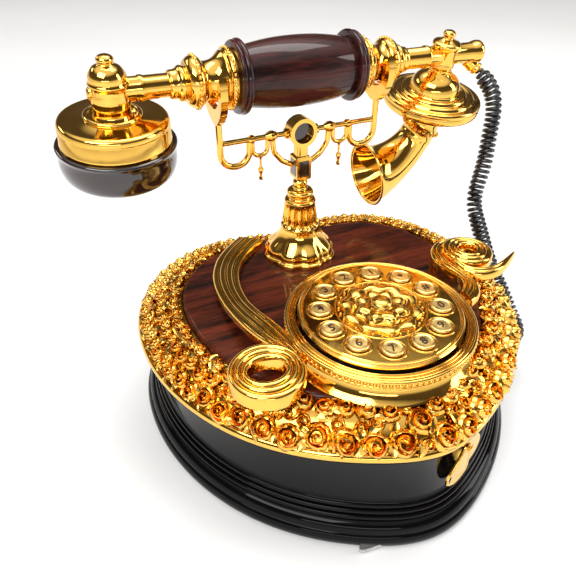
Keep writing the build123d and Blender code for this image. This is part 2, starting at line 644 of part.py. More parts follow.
with BuildPart() as handset_tube:
    tube_side = [(-97.0, 0), (-96.6, 2.6), (-95.2, 3.6), (-93.2, 3.9), (-93.2, TUBE_R), (102.5, TUBE_R), (104.5, 5.6),
                 (107.6, 6.0), (108.8, 5.4), (TUBE_END, 3.6), (TUBE_END, 0)]
    with BuildSketch(middle_plane):
        with BuildLine():
            Polyline(*tube_side, close=True)
        make_face()
    revolve(axis=Axis(middle_plane.origin, middle_plane.x_dir))
    with BuildSketch(Plane(origin=cord_start, z_dir=-cord_way)):
        Circle(3.4)
    extrude(amount=9.5)
    with BuildSketch(Plane(origin=middle_plane.origin - middle_plane.x_dir * 91, z_dir=middle_plane.x_dir)):
        Circle(WIRE_BORE_R)
    extrude(amount=196, mode=Mode.SUBTRACT)
    with BuildSketch(Plane(origin=cord_start, z_dir=-cord_way)):
        Circle(1.8)
    extrude(amount=10.5, mode=Mode.SUBTRACT)
finish(handset_tube, "handset_tube")

KNOB_LEFT = [(0, 14.8), (2.4, 14.5), (3.7, 13.4), (3.8, 12.2), (3.1, 11.2), (3.4, 10.4), (5.0, 9.4), (7.7, 8.0),
             (8.2, 6.8), (8.0, 5.8), (7.6, 5.0), (7.7, -6.0), (7.0, -8.6), (6.4, -10.5), (0, -10.5)]
with BuildPart() as knob_left:
    turned(left_plane, KNOB_LEFT, left_plane.y_dir)
    with BuildSketch(Plane(origin=left_plane.origin - left_plane.x_dir * 20, z_dir=left_plane.x_dir)):
        Circle(TUBE_BORE)
    extrude(amount=40, mode=Mode.SUBTRACT)
finish(knob_left, "knob_left")

DRUM = [(0, -10.5), (9.4, -10.5), (9.8, -9.7), (11.4, -9.7), (11.9, -10.5), (22.6, -10.5), (23.6, -11.4), (24.0, -12.8),
        (24.0, -21.8), (22.2, -21.8), (22.2, -12.6), (0, -12.6)]
with BuildPart() as earpiece_drum:
    turned(left_plane, DRUM, left_plane.y_dir)
finish(earpiece_drum, "earpiece_drum")

CUP = [(22.2, -21.8), (26.0, -21.8), (26.5, -22.6), (26.0, -23.6), (25.9, -27.4), (25.2, -30.8), (23.2, -33.8),
       (19.4, -35.8), (15.0, -36.2), (0, -34.6), (0, -32.4), (18.4, -33.2), (22.2, -30.4), (23.2, -27.0), (23.2, -24.0),
       (22.2, -24.0)]
with BuildPart() as earpiece_cap:
    turned(left_plane, CUP, left_plane.y_dir)
    hole_plane = Plane(origin=left_plane.origin - left_plane.y_dir * 40, z_dir=left_plane.y_dir)
    with BuildSketch(hole_plane):
        Circle(1.1)
        with PolarLocations(6, 6):
            Circle(1.1)
    extrude(amount=10, mode=Mode.SUBTRACT)
finish(earpiece_cap, "earpiece_cap")

with BuildPart() as receiver_capsule:
    turned(left_plane, [(0, -31.4), (17.5, -31.4), (19.5, -29.6), (19.5, -22.5), (12, -22.5), (12, -18), (0, -18)],
           left_plane.y_dir)
finish(receiver_capsule, "receiver_capsule")

KNOB_RIGHT = [(0, 12.6), (2.0, 12.3), (3.0, 11.3), (3.1, 10.2), (2.5, 9.3), (3.0, 8.6), (4.8, 7.8), (7.0, 6.9),
              (7.4, 6.0), (7.0, 5.3), (6.6, 4.6), (6.6, -5.6), (5.8, -7.0), (5.8, -8.0), (0, -8.0)]
with BuildPart() as knob_right:
    turned(right_plane, KNOB_RIGHT, right_plane.y_dir)
    with BuildSketch(Plane(origin=right_plane.origin - right_plane.x_dir * 20, z_dir=right_plane.x_dir)):
        Circle(TUBE_BORE)
    extrude(amount=40, mode=Mode.SUBTRACT)
finish(knob_right, "knob_right")

MOUTH_DISC = [(0, -8.0), (6.6, -8.0), (7.0, -9.2), (9.6, -10.4), (12.2, -12.8), (13.4, -16.0), (13.6, -18.2),
              (15.0, -18.8), (16.8, -18.6), (18.6, -19.8), (21.0, -19.6), (22.8, -20.8), (25.4, -21.0), (26.4, -22.0),
              (26.4, -26.2), (25.4, -27.0), (0, -27.0), (0, -25.0), (24.2, -25.0), (24.2, -23.0), (12.0, -20.6),
              (11.6, -16.0), (8.0, -12.4), (0, -11.4)]
with BuildPart() as mouthpiece_disc:
    turned(right_plane, MOUTH_DISC, right_plane.y_dir)
finish(mouthpiece_disc, "mouthpiece_disc")

with BuildPart() as microphone_capsule:
    turned(right_plane, [(0, -24.6), (9.0, -24.6), (9.0, -17.0), (0, -17.0)], right_plane.y_dir)
finish(microphone_capsule, "microphone_capsule")

# speaking horn: a quarter turn of an ellipse, growing from the neck to the mouth
HORN_REACH = 36.0
HORN_DROP = 40.0
HORN_TOP = -27.0
HORN_TURN = 84.0
HORN_STEPS = 8
HORN_NECK_R = 8.6
HORN_MOUTH_R = 18.2
HORN_WALL = 1.4


def horn_plane(turn):
    """Plane across the horn's centre line, turn degrees round from the neck."""
    c = math.cos(math.radians(turn))
    s = math.sin(math.radians(turn))
    centre = (right_plane.origin + right_plane.x_dir * (HORN_REACH * (c - 1))
              + right_plane.y_dir * (HORN_TOP - HORN_DROP * s))
    onward = right_plane.x_dir * (-HORN_REACH * s) - right_plane.y_dir * (HORN_DROP * c)
    return Plane(origin=centre, x_dir=right_plane.z_dir, z_dir=onward)


def horn_radius(turn):
    return HORN_NECK_R + (HORN_MOUTH_R - HORN_NECK_R) * (turn / HORN_TURN) ** 2.3


with BuildPart() as horn:
    turns = [HORN_TURN * k / HORN_STEPS for k in range(HORN_STEPS + 1)]
    for turn in turns:
        with BuildSketch(horn_plane(turn)):
            Circle(horn_radius(turn))
    loft()
    mouth = horn_plane(HORN_TURN)
    with BuildSketch(mouth.offset(-1.2)):
        Circle(HORN_MOUTH_R + 0.7)
    extrude(amount=2.0)
    collar = horn_plane(20)
    with BuildSketch(collar.offset(-1.6)):
        Circle(10.2)
    extrude(amount=3.2)
with BuildPart() as horn_inside:
    for turn in turns[1:]:
        with BuildSketch(horn_plane(turn)):
            Circle(horn_radius(turn) - HORN_WALL)
    loft()
    with BuildSketch(mouth):
        Circle(HORN_MOUTH_R - HORN_WALL)
    extrude(amount=3)
with horn:
    add(horn_inside.part, mode=Mode.SUBTRACT)
finish(horn, "horn")

# ================================================================ coiled cord and its grommet
with BuildPart() as cord_grommet:
    with BuildSketch(exit_plane.offset(-5)):
        Circle(6.1)
    extrude(amount=5)
    with BuildSketch(exit_plane):
        Circle(6.1)
    extrude(amount=1.4)
    with BuildSketch(exit_plane):
        Circle(4.2)
    extrude(amount=GROMMET_OUT)
finish(cord_grommet, "cord_grommet")


def cord_radii(route):
    """Largest arcs that the runs allow: 0.45 of the shorter run over the tangent of half the turn."""
    points = [Vector(*p) for p in route]
    radii = []
    for before, corner, after in zip(points, points[1:], points[2:]):
        first = corner - before
        second = after - corner
        half_turn = math.radians(first.get_angle(second)) / 2
        radii.append(0.45 * min(first.length, second.length) / math.tan(half_turn))
    return radii


radii = cord_radii(CORD_ROUTE)
print("cord radii", [round(r, 1) for r in radii])
with BuildPart() as handset_cord:
    rod(CORD_ROUTE, CORD_R, radii)
finish(handset_cord, "handset_cord")
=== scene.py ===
"""French-style cradle telephone: the visible model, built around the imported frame."""
import math
import random

import bmesh
import bpy
import numpy as np
from mathutils import Matrix, Vector


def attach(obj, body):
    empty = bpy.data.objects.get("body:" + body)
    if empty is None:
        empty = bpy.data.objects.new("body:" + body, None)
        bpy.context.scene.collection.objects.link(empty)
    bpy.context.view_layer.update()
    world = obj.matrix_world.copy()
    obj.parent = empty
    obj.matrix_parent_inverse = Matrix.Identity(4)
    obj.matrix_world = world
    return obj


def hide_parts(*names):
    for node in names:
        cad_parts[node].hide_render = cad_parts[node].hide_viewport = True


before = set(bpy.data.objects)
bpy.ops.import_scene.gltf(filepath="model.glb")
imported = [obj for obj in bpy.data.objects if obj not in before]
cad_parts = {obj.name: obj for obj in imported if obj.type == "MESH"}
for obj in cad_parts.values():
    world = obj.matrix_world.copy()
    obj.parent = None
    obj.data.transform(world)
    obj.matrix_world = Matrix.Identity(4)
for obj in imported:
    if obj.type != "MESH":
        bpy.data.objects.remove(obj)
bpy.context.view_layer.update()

bl_info = {
    "name": "Cradle Telephone",
    "version": (1, 0, 0),
    "blender": (4, 5, 0),
    "location": "View3D > Sidebar > Telephone",
    "description": "Builds the visible pieces of a French-style cradle telephone around its frame",
    "category": "Object",
}

MM = 0.001
WELD = 1e-6
HEART_POINTS = 240
PATTERN_SHARP = 60

# outlines of the heart, right half from the tip to the notch at the back, in millimetres
RIM_HALF = [(0, -140.5), (28, -133), (68, -105.5), (91, -69), (98.5, -30), (90, 10), (68, 35),
            (36, 45), (0, 34)]
FOOT_HALF = [(0, -147), (31, -138), (70, -108), (92.5, -70), (100, -30), (92, 11), (69, 37),
             (36, 47), (0, 36)]
PANEL_HALF = [(0, -122), (30, -111), (56, -90), (69, -66), (75, -36), (70, -6), (50, 15.5),
              (26, 21), (0, 17)]
NOTCH_WAY = (-0.9, -0.44)

# handset axis, as in the CAD
HANDSET_AT = Vector((-2.3, 2.0, 167.8))
PITCH = math.radians(1.0)
LEFT_TILT = math.radians(6.5)
RIGHT_TILT = math.radians(10.0)
CAPSULE_X = 85.6
DIAL_Y = -83.0
KEY_CIRCLE = 27.0
FIRST_KEY = 68
NUMERAL_AT = 0.08758
KEY_STEP = 30
KEY_NAMES = ["1", "2", "3", "4", "5", "6", "7", "8", "9", "0", "hash", "star"]


# ---------------------------------------------------------------- settings
class PhoneColours(bpy.types.PropertyGroup):
    """Colours that a user would change"""
    gilt: bpy.props.FloatVectorProperty(name="Gilt", description="Colour of the polished gilt",
                                        default=(0.95, 0.56, 0.11), size=3, subtype="COLOR", min=0,
                                        max=1)
    key_gilt: bpy.props.FloatVectorProperty(name="Key gilt",
                                            description="Colour of the paler key tops",
                                            default=(0.96, 0.68, 0.24), size=3, subtype="COLOR",
                                            min=0, max=1)
    panel: bpy.props.FloatVectorProperty(name="Panel",
                                         description="Light grain colour of the rosewood top",
                                         default=(0.130, 0.022, 0.008), size=3, subtype="COLOR",
                                         min=0, max=1)
    grip: bpy.props.FloatVectorProperty(name="Grip", description="Light grain colour of the grip",
                                        default=(0.060, 0.010, 0.007), size=3, subtype="COLOR",
                                        min=0, max=1)
    plinth: bpy.props.FloatVectorProperty(name="Plinth", description="Colour of the black lacquer",
                                          default=(0.003, 0.0025, 0.003), size=3, subtype="COLOR",
                                          min=0, max=1)


class PhoneSizes(bpy.types.PropertyGroup):
    """Sizes that a user would change"""
    rose: bpy.props.FloatProperty(name="Rose",
                                  description="Width of the largest roses of the border",
                                  default=0.0118, unit="LENGTH", min=0.004, max=0.02)
    small_rose: bpy.props.FloatProperty(name="Small rose",
                                        description="Width of the smallest roses",
                                        default=0.0070, unit="LENGTH", min=0.004, max=0.02)
    bead: bpy.props.FloatProperty(name="Bead",
                                  description="Diameter of the beads round the dial band",
                                  default=0.0024, unit="LENGTH", min=0.0005, max=0.005)
    numeral: bpy.props.FloatProperty(name="Numeral",
                                     description="Height of the numerals on the keys",
                                     default=0.0042, unit="LENGTH", min=0.001, max=0.01)
    wire: bpy.props.FloatProperty(name="Wire", description="Diameter of the coiled wire",
                                  default=0.0021, unit="LENGTH", min=0.0005, max=0.004)
    coil: bpy.props.FloatProperty(name="Coil", description="Outer diameter of the coil",
                                  default=0.0092, unit="LENGTH", min=0.004, max=0.02)
    pitch: bpy.props.FloatProperty(name="Pitch",
                                   description="Distance from turn to turn of the coil",
                                   default=0.0030, unit="LENGTH", min=0.001, max=0.01)


class PhoneStage(bpy.types.PropertyGroup):
    """Floor and light"""
    floor: bpy.props.FloatProperty(name="Floor", description="Width of the pale floor", default=6.0,
                                   unit="LENGTH")
    power: bpy.props.FloatProperty(name="Light", description="Power of the largest light, in watts",
                                   default=11.5)
    surround: bpy.props.FloatProperty(name="Surround",
                                      description="Strength of the light all round",
                                      default=1.1)


def colours():
    """The colours that the user has set."""
    return bpy.context.scene.phone_colours


def sizes():
    """The sizes that the user has set."""
    return bpy.context.scene.phone_sizes


# ---------------------------------------------------------------- curves in numbers
def smooth_line(points, count, start=None, end=None):
    """Evenly spaced points on a cubic spline through the given points."""
    p = np.array(points, float)
    n = len(p)
    t = np.r_[0, np.cumsum(np.linalg.norm(np.diff(p, axis=0), axis=1))]
    h = np.diff(t)
    matrix = np.zeros((n, n))
    right = np.zeros_like(p)
    for i in range(1, n - 1):
        matrix[i, i - 1:i + 2] = [1 / h[i - 1], 2 / h[i - 1] + 2 / h[i], 1 / h[i]]
        right[i] = 3 * ((p[i] - p[i - 1]) / h[i - 1] ** 2 + (p[i + 1] - p[i]) / h[i] ** 2)
    for row, near, step, way in ((0, 1, h[0], start), (n - 1, n - 2, h[-1], end)):
        if way is None:
            matrix[row, row] = 2
            matrix[row, near] = 1
            right[row] = 3 * (p[near] - p[row]) / step * (1 if row == 0 else -1)
        else:
            matrix[row, row] = 1
            right[row] = np.array(way) / np.linalg.norm(way)
    slope = np.linalg.solve(matrix, right)
    fine = np.linspace(0, t[-1], 40 * n)
    k = np.clip(np.searchsorted(t, fine, side="right") - 1, 0, n - 2)
    u = ((fine - t[k]) / h[k])[:, None]
    hk = h[k][:, None]
    line = ((2 * u ** 3 - 3 * u ** 2 + 1) * p[k] + (u ** 3 - 2 * u ** 2 + u) * hk * slope[k]
            + (3 * u ** 2 - 2 * u ** 3) * p[k + 1] + (u ** 3 - u ** 2) * hk * slope[k + 1])
    return even(line, count)


def even(line, count):
    """Points at equal distances along a polyline."""
    run = np.r_[0, np.cumsum(np.linalg.norm(np.diff(line, axis=0), axis=1))]
    at = np.linspace(0, run[-1], count)
    return np.stack([np.interp(at, run, line[:, c]) for c in range(line.shape[1])], axis=1)


def heart_line(half, count=HEART_POINTS):
    """The whole heart: places and outward normals, anticlockwise from the tip."""
    right = smooth_line(half, count // 2 + 1, start=(1, 0), end=NOTCH_WAY)
    left = right[::-1] * [-1, 1]
    line = np.r_[right, left[1:-1]]
    ahead = np.roll(line, -1, axis=0) - np.roll(line, 1, axis=0)
    normal = np.stack([ahead[:, 1], -ahead[:, 0]], axis=1)
    normal /= np.linalg.norm(normal, axis=1)[:, None]
    return line, normal


def rounded(profile, count):
    """A smooth version of a turned profile, through all its points."""
    return [tuple(q) for q in smooth_line(profile, count)]


# ---------------------------------------------------------------- meshes
def add_object(name, data):
    """A new object in the scene, at the origin."""
    item = bpy.data.objects.new(name, data)
    bpy.context.scene.collection.objects.link(item)
    return item


def plain_mesh(item):
    """The evaluated mesh of an object that is then deleted."""
    bpy.context.view_layer.update()
    ready = item.evaluated_get(bpy.context.evaluated_depsgraph_get())
    mesh = bpy.data.meshes.new_from_object(ready)
    bpy.data.objects.remove(item)
    return mesh


def claim(piece, body, node=None):
    """Tell the frame what the piece rides on and what it stands for."""
    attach(piece, body)
    if node:
        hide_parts(node)


def build(name, verts, faces, finish, body, node=None, sharp=35.0):
    """One finished piece from millimetre points: welded, facing outwards, riding on its body."""
    mesh = bpy.data.meshes.new(name)
    mesh.from_pydata([[c * MM for c in v] for v in verts], [], faces)
    piece = add_object(name, mesh)
    settle_mesh(mesh, sharp)
    mesh.materials.append(finish_named(finish))
    claim(piece, body, node)
    return piece


def settle_mesh(mesh, sharp):
    """Weld the mesh, turn its faces outwards and smooth it up to an angle in degrees."""
    work = bmesh.new()
    work.from_mesh(mesh)
    bmesh.ops.remove_doubles(work, verts=work.verts, dist=WELD)
    bmesh.ops.dissolve_degenerate(work, edges=work.edges, dist=WELD / 10)
    bmesh.ops.recalc_face_normals(work, faces=work.faces)
    work.to_mesh(mesh)
    work.free()
    mesh.shade_smooth()
    mesh.set_sharp_from_angle(angle=math.radians(sharp))


def stack(rings, round_way=True, close_ends=True):
    """Faces between rings of points. The ends are closed by a fan to their middle."""
    verts = [tuple(v) for ring in rings for v in ring]
    n = len(rings[0])
    faces = []
    last = n if round_way else n - 1
    for k in range(len(rings) - 1):
        for i in range(last):
            j = (i + 1) % n
            faces.append((k * n + i, k * n + j, (k + 1) * n + j, (k + 1) * n + i))
    if close_ends:
        for first in (0, (len(rings) - 1) * n):
            middle = np.mean(verts[first:first + n], axis=0)
            verts.append(tuple(middle))
            for i in range(last):
                faces.append((first + i, first + (i + 1) % n, len(verts) - 1))
    return verts, faces


def turns(count):
    """Angles of so many equal steps once round."""
    return [2 * math.pi * k / count for k in range(count)]


def turn(profile, place, segments=72, wave=None):
    """Rings of a profile of (radius, height) turned about a frame's Z axis.

    wave(angle, radius, height) scales the radius.
    """
    rings = []
    for r, z in profile:
        ring = []
        for a in turns(segments):
            q = max(r, 1e-4) * (wave(a, r, z) if wave else 1)
            ring.append(place @ Vector((q * math.cos(a), q * math.sin(a), z)))
        rings.append(ring)
    return rings


def turned_piece(name, profile, place, finish, body, node=None, segments=72, sharp=35.0):
    """A solid of revolution whose profile starts and ends on the axis or closes on itself."""
    rings = turn(profile, place, segments)
    closed = profile[0] == profile[-1]
    verts, faces = stack(rings, close_ends=not closed)
    return build(name, verts, faces, finish, body, node, sharp)


def tube(points, radius, sides=8):
    """A round bar along points, with closed ends. Frames are carried along without twist."""
    pts = [Vector(p) for p in points]
    side = None
    rings = []
    for k, p in enumerate(pts):
        way = (pts[min(k + 1, len(pts) - 1)] - pts[max(k - 1, 0)]).normalized()
        if side is None:
            side = way.orthogonal().normalized()
        side = (side - way * side.dot(way)).normalized()
        over = way.cross(side)
        rings.append([p + (side * math.cos(a) + over * math.sin(a)) * radius for a in turns(sides)])
    return stack(rings)


def joined(parts):
    """Several (verts, faces) as one."""
    verts, faces = [], []
    for v, f in parts:
        faces += [tuple(i + len(verts) for i in face) for face in f]
        verts += list(v)
    return verts, faces


def frame_at(origin, up, along=(1, 0, 0)):
    """A frame in millimetres whose Z is up and whose X is nearest to along."""
    z = Vector(up).normalized()
    x = Vector(along)
    x = (x - z * x.dot(z)).normalized()
    m = Matrix((x, z.cross(x), z)).transposed().to_4x4()
    m.translation = Vector(origin)
    return m


def upright(x, y):
    """A frame whose Z axis stands at that place."""
    return Matrix.Translation((x, y, 0.0))


def handset_frame(station, tilt, axis="up"):
    """Frame at a station on the handset. Its Z is the handset's own up, or its length."""
    along = Vector((math.cos(PITCH), 0, -math.sin(PITCH)))
    level_up = Vector((math.sin(PITCH), 0, math.cos(PITCH)))
    up = level_up * math.cos(tilt) - Vector((0, 1, 0)) * math.sin(tilt)
    place = HANDSET_AT + along * station
    return frame_at(place, up, along) if axis == "up" else frame_at(place, along, up)


# ---------------------------------------------------------------- repeated shapes
def scatter_tree():
    """Instances of a pattern object on the vertices of a mesh, by its size and turn attributes."""
    if "Phone scatter" in bpy.data.node_groups:
        return bpy.data.node_groups["Phone scatter"]
    tree = bpy.data.node_groups.new("Phone scatter", "GeometryNodeTree")
    face = tree.interface
    for name, kind in (("Geometry", "Geometry"), ("Pattern", "Object"), ("Size", "Float"),
                       ("Variation", "Float"), ("Seed", "Int"), ("Material", "Material")):
        face.new_socket(name, in_out="INPUT", socket_type="NodeSocket" + kind)
    face.new_socket("Geometry", in_out="OUTPUT", socket_type="NodeSocketGeometry")
    node = tree.nodes.new
    link = tree.links.new
    enter, leave = node("NodeGroupInput"), node("NodeGroupOutput")
    points = node("GeometryNodeMeshToPoints")
    info = node("GeometryNodeObjectInfo")
    size = node("GeometryNodeInputNamedAttribute")
    size.data_type = "FLOAT"
    size.inputs["Name"].default_value = "size"
    angles = node("GeometryNodeInputNamedAttribute")
    angles.data_type = "FLOAT_VECTOR"
    angles.inputs["Name"].default_value = "turn"
    rotation = node("FunctionNodeEulerToRotation")
    chance = node("FunctionNodeRandomValue")
    chance.data_type = "FLOAT"
    chance.inputs[2].default_value = -1.0
    chance.inputs[3].default_value = 1.0
    spread, one, scale, whole = (node("ShaderNodeMath") for _ in range(4))
    for item in (spread, scale, whole):
        item.operation = "MULTIPLY"
    one.operation = "ADD"
    one.inputs[1].default_value = 1.0
    place = node("GeometryNodeInstanceOnPoints")
    real = node("GeometryNodeRealizeInstances")
    paint = node("GeometryNodeSetMaterial")
    link(enter.outputs["Geometry"], points.inputs["Mesh"])
    link(enter.outputs["Pattern"], info.inputs["Object"])
    link(enter.outputs["Seed"], chance.inputs["Seed"])
    link(chance.outputs[1], spread.inputs[0])
    link(enter.outputs["Variation"], spread.inputs[1])
    link(spread.outputs[0], one.inputs[0])
    link(one.outputs[0], scale.inputs[0])
    link(size.outputs["Attribute"], scale.inputs[1])
    link(scale.outputs[0], whole.inputs[0])
    link(enter.outputs["Size"], whole.inputs[1])
    link(angles.outputs["Attribute"], rotation.inputs["Euler"])
    link(points.outputs["Points"], place.inputs["Points"])
    link(info.outputs["Geometry"], place.inputs["Instance"])
    link(rotation.outputs["Rotation"], place.inputs["Rotation"])
    link(whole.outputs[0], place.inputs["Scale"])
    link(place.outputs["Instances"], real.inputs["Geometry"])
    link(real.outputs["Geometry"], paint.inputs["Geometry"])
    link(enter.outputs["Material"], paint.inputs["Material"])
    link(paint.outputs["Geometry"], leave.inputs["Geometry"])
    return tree


def scatter(name, pattern, places, finish, body, size=1.0, variation=0.0, seed=1):
    """One plain mesh of the pattern at each (place, facing, spin, size), place in millimetres."""
    mesh = bpy.data.meshes.new(name + "_places")
    mesh.from_pydata([[c * MM for c in p[0]] for p in places], [], [])
    width = mesh.attributes.new("size", "FLOAT", "POINT")
    way = mesh.attributes.new("turn", "FLOAT_VECTOR", "POINT")
    for i, (_, facing, spin, scale) in enumerate(places):
        width.data[i].value = scale
        lean = Vector((0, 0, 1)).rotation_difference(Vector(facing)).to_matrix()
        way.data[i].vector = (lean @ Matrix.Rotation(spin, 3, "Z")).to_euler()
    holder = add_object(name + "_places", mesh)
    tree = scatter_tree()
    modifier = holder.modifiers.new("Scatter", "NODES")
    modifier.node_group = tree
    inputs = {s.name: s.identifier for s in tree.interface.items_tree if s.in_out == "INPUT"}
    for label, value in (("Pattern", pattern), ("Size", size), ("Variation", variation),
                         ("Seed", seed),
                         ("Material", finish_named(finish))):
        modifier[inputs[label]] = value
    plain = plain_mesh(holder)
    bpy.data.objects.remove(pattern)
    plain.name = name
    plain.shade_smooth()
    plain.set_sharp_from_angle(angle=math.radians(PATTERN_SHARP))
    claim(add_object(name, plain), body)


def pattern(name, verts, faces):
    """A unit-sized mesh to repeat, in metres for a scale of one millimetre."""
    mesh = bpy.data.meshes.new(name)
    mesh.from_pydata([[c * MM for c in v] for v in verts], [], faces)
    settle_mesh(mesh, PATTERN_SHARP)
    item = add_object(name, mesh)
    item.hide_render = True
    return item


def bead_pattern():
    """A ball one millimetre across."""
    profile = [(0.5 * math.sin(math.pi * k / 6), -0.5 * math.cos(math.pi * k / 6))
               for k in range(7)]
    verts, faces = stack(turn(profile, Matrix(), 8), close_ends=True)
    return pattern("bead", verts, faces)


def rose_pattern():
    """A rolled rose one millimetre across: a petal wall wound round a bud, on a low cushion."""
    rings = []
    steps = 26
    for k in range(steps + 1):
        t = k / steps
        a = 2 * math.pi * 2.35 * t
        lobe = 1 + 0.07 * math.cos(3.3 * a) * t
        r = (0.045 + 0.40 * t ** 0.85) * lobe
        lip = 0.40 - 0.27 * t ** 1.4 + 0.03 * math.cos(3.3 * a)
        inner, top, outer = r - 0.07 * (0.5 + t), r, r + 0.085 * (0.4 + t)
        foot = -0.06
        ring = []
        for q, z in ((inner, lip - 0.16), (top - 0.01, lip), (outer, lip - 0.10),
                     (outer * 1.02, foot)):
            ring.append((q * math.cos(a), q * math.sin(a), z))
        ring.append((max(inner, 0.01) * math.cos(a), max(inner, 0.01) * math.sin(a), foot))
        rings.append(ring)
    verts, faces = stack(rings)
    return pattern("rose", verts, faces)


def leaf_pattern():
    """A pointed leaf one millimetre long with a sunk midrib."""
    top = []
    for k in range(6):
        t = k / 5
        half = 0.27 * math.sin(math.pi * min(t * 0.94 + 0.06, 1)) ** 0.8
        bend = 0.10 * math.sin(math.pi * t)
        row = [(t - 0.5, half * s, bend + 0.07 * abs(s) - 0.05 * s * s * t)
               for s in (-1, -0.5, 0, 0.5, 1)]
        top.append(row + [(x, y * 0.9, z - 0.09) for x, y, z in reversed(row)])
    verts, faces = stack(top)
    return pattern("leaf", verts, faces)


# ---------------------------------------------------------------- materials
def shader(name):
    """A new material with its node tree and its Principled shader."""
    material = bpy.data.materials.new(name)
    material.use_nodes = True
    return material, material.node_tree, material.node_tree.nodes["Principled BSDF"]


def noise(tree, scale, detail=4.0, stretch=(1, 1, 1), rough=0.55):
    """A noise on the piece's own Object coordinates."""
    where = tree.nodes.new("ShaderNodeTexCoord")
    shift = tree.nodes.new("ShaderNodeMapping")
    shift.inputs["Scale"].default_value = stretch
    item = tree.nodes.new("ShaderNodeTexNoise")
    item.inputs["Scale"].default_value = scale
    item.inputs["Detail"].default_value = detail
    item.inputs["Roughness"].default_value = rough
    tree.links.new(where.outputs["Object"], shift.inputs["Vector"])
    tree.links.new(shift.outputs["Vector"], item.inputs["Vector"])
    return item


def ramp(tree, source, stops):
    """A colour ramp through (position, colour) stops, given in rising order."""
    item = tree.nodes.new("ShaderNodeValToRGB")
    elements = item.color_ramp.elements
    elements[1].position = stops[-1][0]
    elements[0].position = stops[0][0]
    for at, colour in stops[1:-1]:
        elements.new(at)
    for element, (at, colour) in zip(elements, stops):
        element.color = (*colour, 1)
    tree.links.new(source, item.inputs["Fac"])
    return item


def bump(tree, source, strength, distance):
    """Surface relief from a value, its distance in metres."""
    item = tree.nodes.new("ShaderNodeBump")
    item.inputs["Strength"].default_value = strength
    item.inputs["Distance"].default_value = distance
    tree.links.new(source, item.inputs["Height"])
    return item


def gilt(name, colour, rough, wear=0.25, painted_hollow_shade=0.0):
    """Polished gilt with tarnish clouds, polishing waves and, where asked, painted shade that
    darkens its hollows.
    """
    material, tree, bsdf = shader(name)
    base = np.array(colour)
    cloud = noise(tree, 90, 3)
    tint = ramp(tree, cloud.outputs["Fac"], [(0.30, tuple(base * (1 - wear * 0.5))),
                                             (0.62, tuple(base))])
    out = tint.outputs["Color"]
    if painted_hollow_shade:
        # painted shade: concave places, found by pointiness, are darkened towards brown
        shape = tree.nodes.new("ShaderNodeNewGeometry")
        dip = ramp(tree, shape.outputs["Pointiness"], [(0.40, (0.20, 0.09, 0.03)),
                                                       (0.52, (1, 1, 1))])
        mix = tree.nodes.new("ShaderNodeMix")
        mix.data_type = "RGBA"
        mix.blend_type = "MULTIPLY"
        mix.inputs["Factor"].default_value = painted_hollow_shade
        colour_a, colour_b = [i for i in mix.inputs if i.type == "RGBA"]
        tree.links.new(out, colour_a)
        tree.links.new(dip.outputs["Color"], colour_b)
        out = next(o for o in mix.outputs if o.type == "RGBA")
    tree.links.new(out, bsdf.inputs["Base Color"])
    bsdf.inputs["Metallic"].default_value = 1.0
    smear = noise(tree, 260, 5)
    polish = ramp(tree, smear.outputs["Fac"], [(0.35, (rough * 0.75,) * 3),
                                               (0.75, (rough * 1.5,) * 3)])
    tree.links.new(polish.outputs["Color"], bsdf.inputs["Roughness"])
    hills = noise(tree, 55, 2)
    tree.links.new(bump(tree, hills.outputs["Fac"], 0.5, 0.0002).outputs["Normal"],
                   bsdf.inputs["Normal"])
    return material


def lacquered_wood(name, light, dark, stretch, scale, coat):
    """Lacquered wood with long streaks, pores and a clear coat."""
    material, tree, bsdf = shader(name)
    streak = noise(tree, scale, 6, stretch, 0.62)
    fine = noise(tree, scale * 9, 4, stretch, 0.6)
    both = tree.nodes.new("ShaderNodeMix")
    both.data_type = "FLOAT"
    both.inputs["Factor"].default_value = 0.35
    tree.links.new(streak.outputs["Fac"], both.inputs["A"])
    tree.links.new(fine.outputs["Fac"], both.inputs["B"])
    mid = tuple((a + b) / 2 for a, b in zip(light, dark))
    grain = ramp(tree, both.outputs["Result"], [(0.40, dark), (0.49, mid), (0.58, light)])
    tree.links.new(grain.outputs["Color"], bsdf.inputs["Base Color"])
    bsdf.inputs["Roughness"].default_value = 0.4
    bsdf.inputs["Specular IOR Level"].default_value = 0.12
    bsdf.inputs["Coat Weight"].default_value = coat
    bsdf.inputs["Coat IOR"].default_value = 1.35
    bsdf.inputs["Coat Roughness"].default_value = 0.04
    tree.links.new(bump(tree, fine.outputs["Fac"], 0.12, 0.0002).outputs["Normal"],
                   bsdf.inputs["Normal"])
    return material


def gloss(name, colour, rough=0.12, coat=0.6, grain=1200, depth=0.02, spread=0.3, specular=0.5):
    """Moulded or lacquered gloss with a faint orange peel and uneven tone."""
    material, tree, bsdf = shader(name)
    tone = noise(tree, 35, 3)
    low = tuple(c * (1 - spread) for c in colour)
    high = tuple(c * (1 + spread) for c in colour)
    tree.links.new(ramp(tree, tone.outputs["Fac"], [(0.35, low), (0.65, high)]).outputs["Color"],
                   bsdf.inputs["Base Color"])
    haze = noise(tree, 60, 5)
    shine = ramp(tree, haze.outputs["Fac"], [(0.3, (rough * 0.8,) * 3), (0.8, (rough * 1.6,) * 3)])
    tree.links.new(shine.outputs["Color"], bsdf.inputs["Roughness"])
    bsdf.inputs["Coat Weight"].default_value = coat
    bsdf.inputs["Coat Roughness"].default_value = 0.03
    bsdf.inputs["Specular IOR Level"].default_value = specular
    peel = noise(tree, grain, 2)
    tree.links.new(bump(tree, peel.outputs["Fac"], depth, 0.0004).outputs["Normal"],
                   bsdf.inputs["Normal"])
    return material


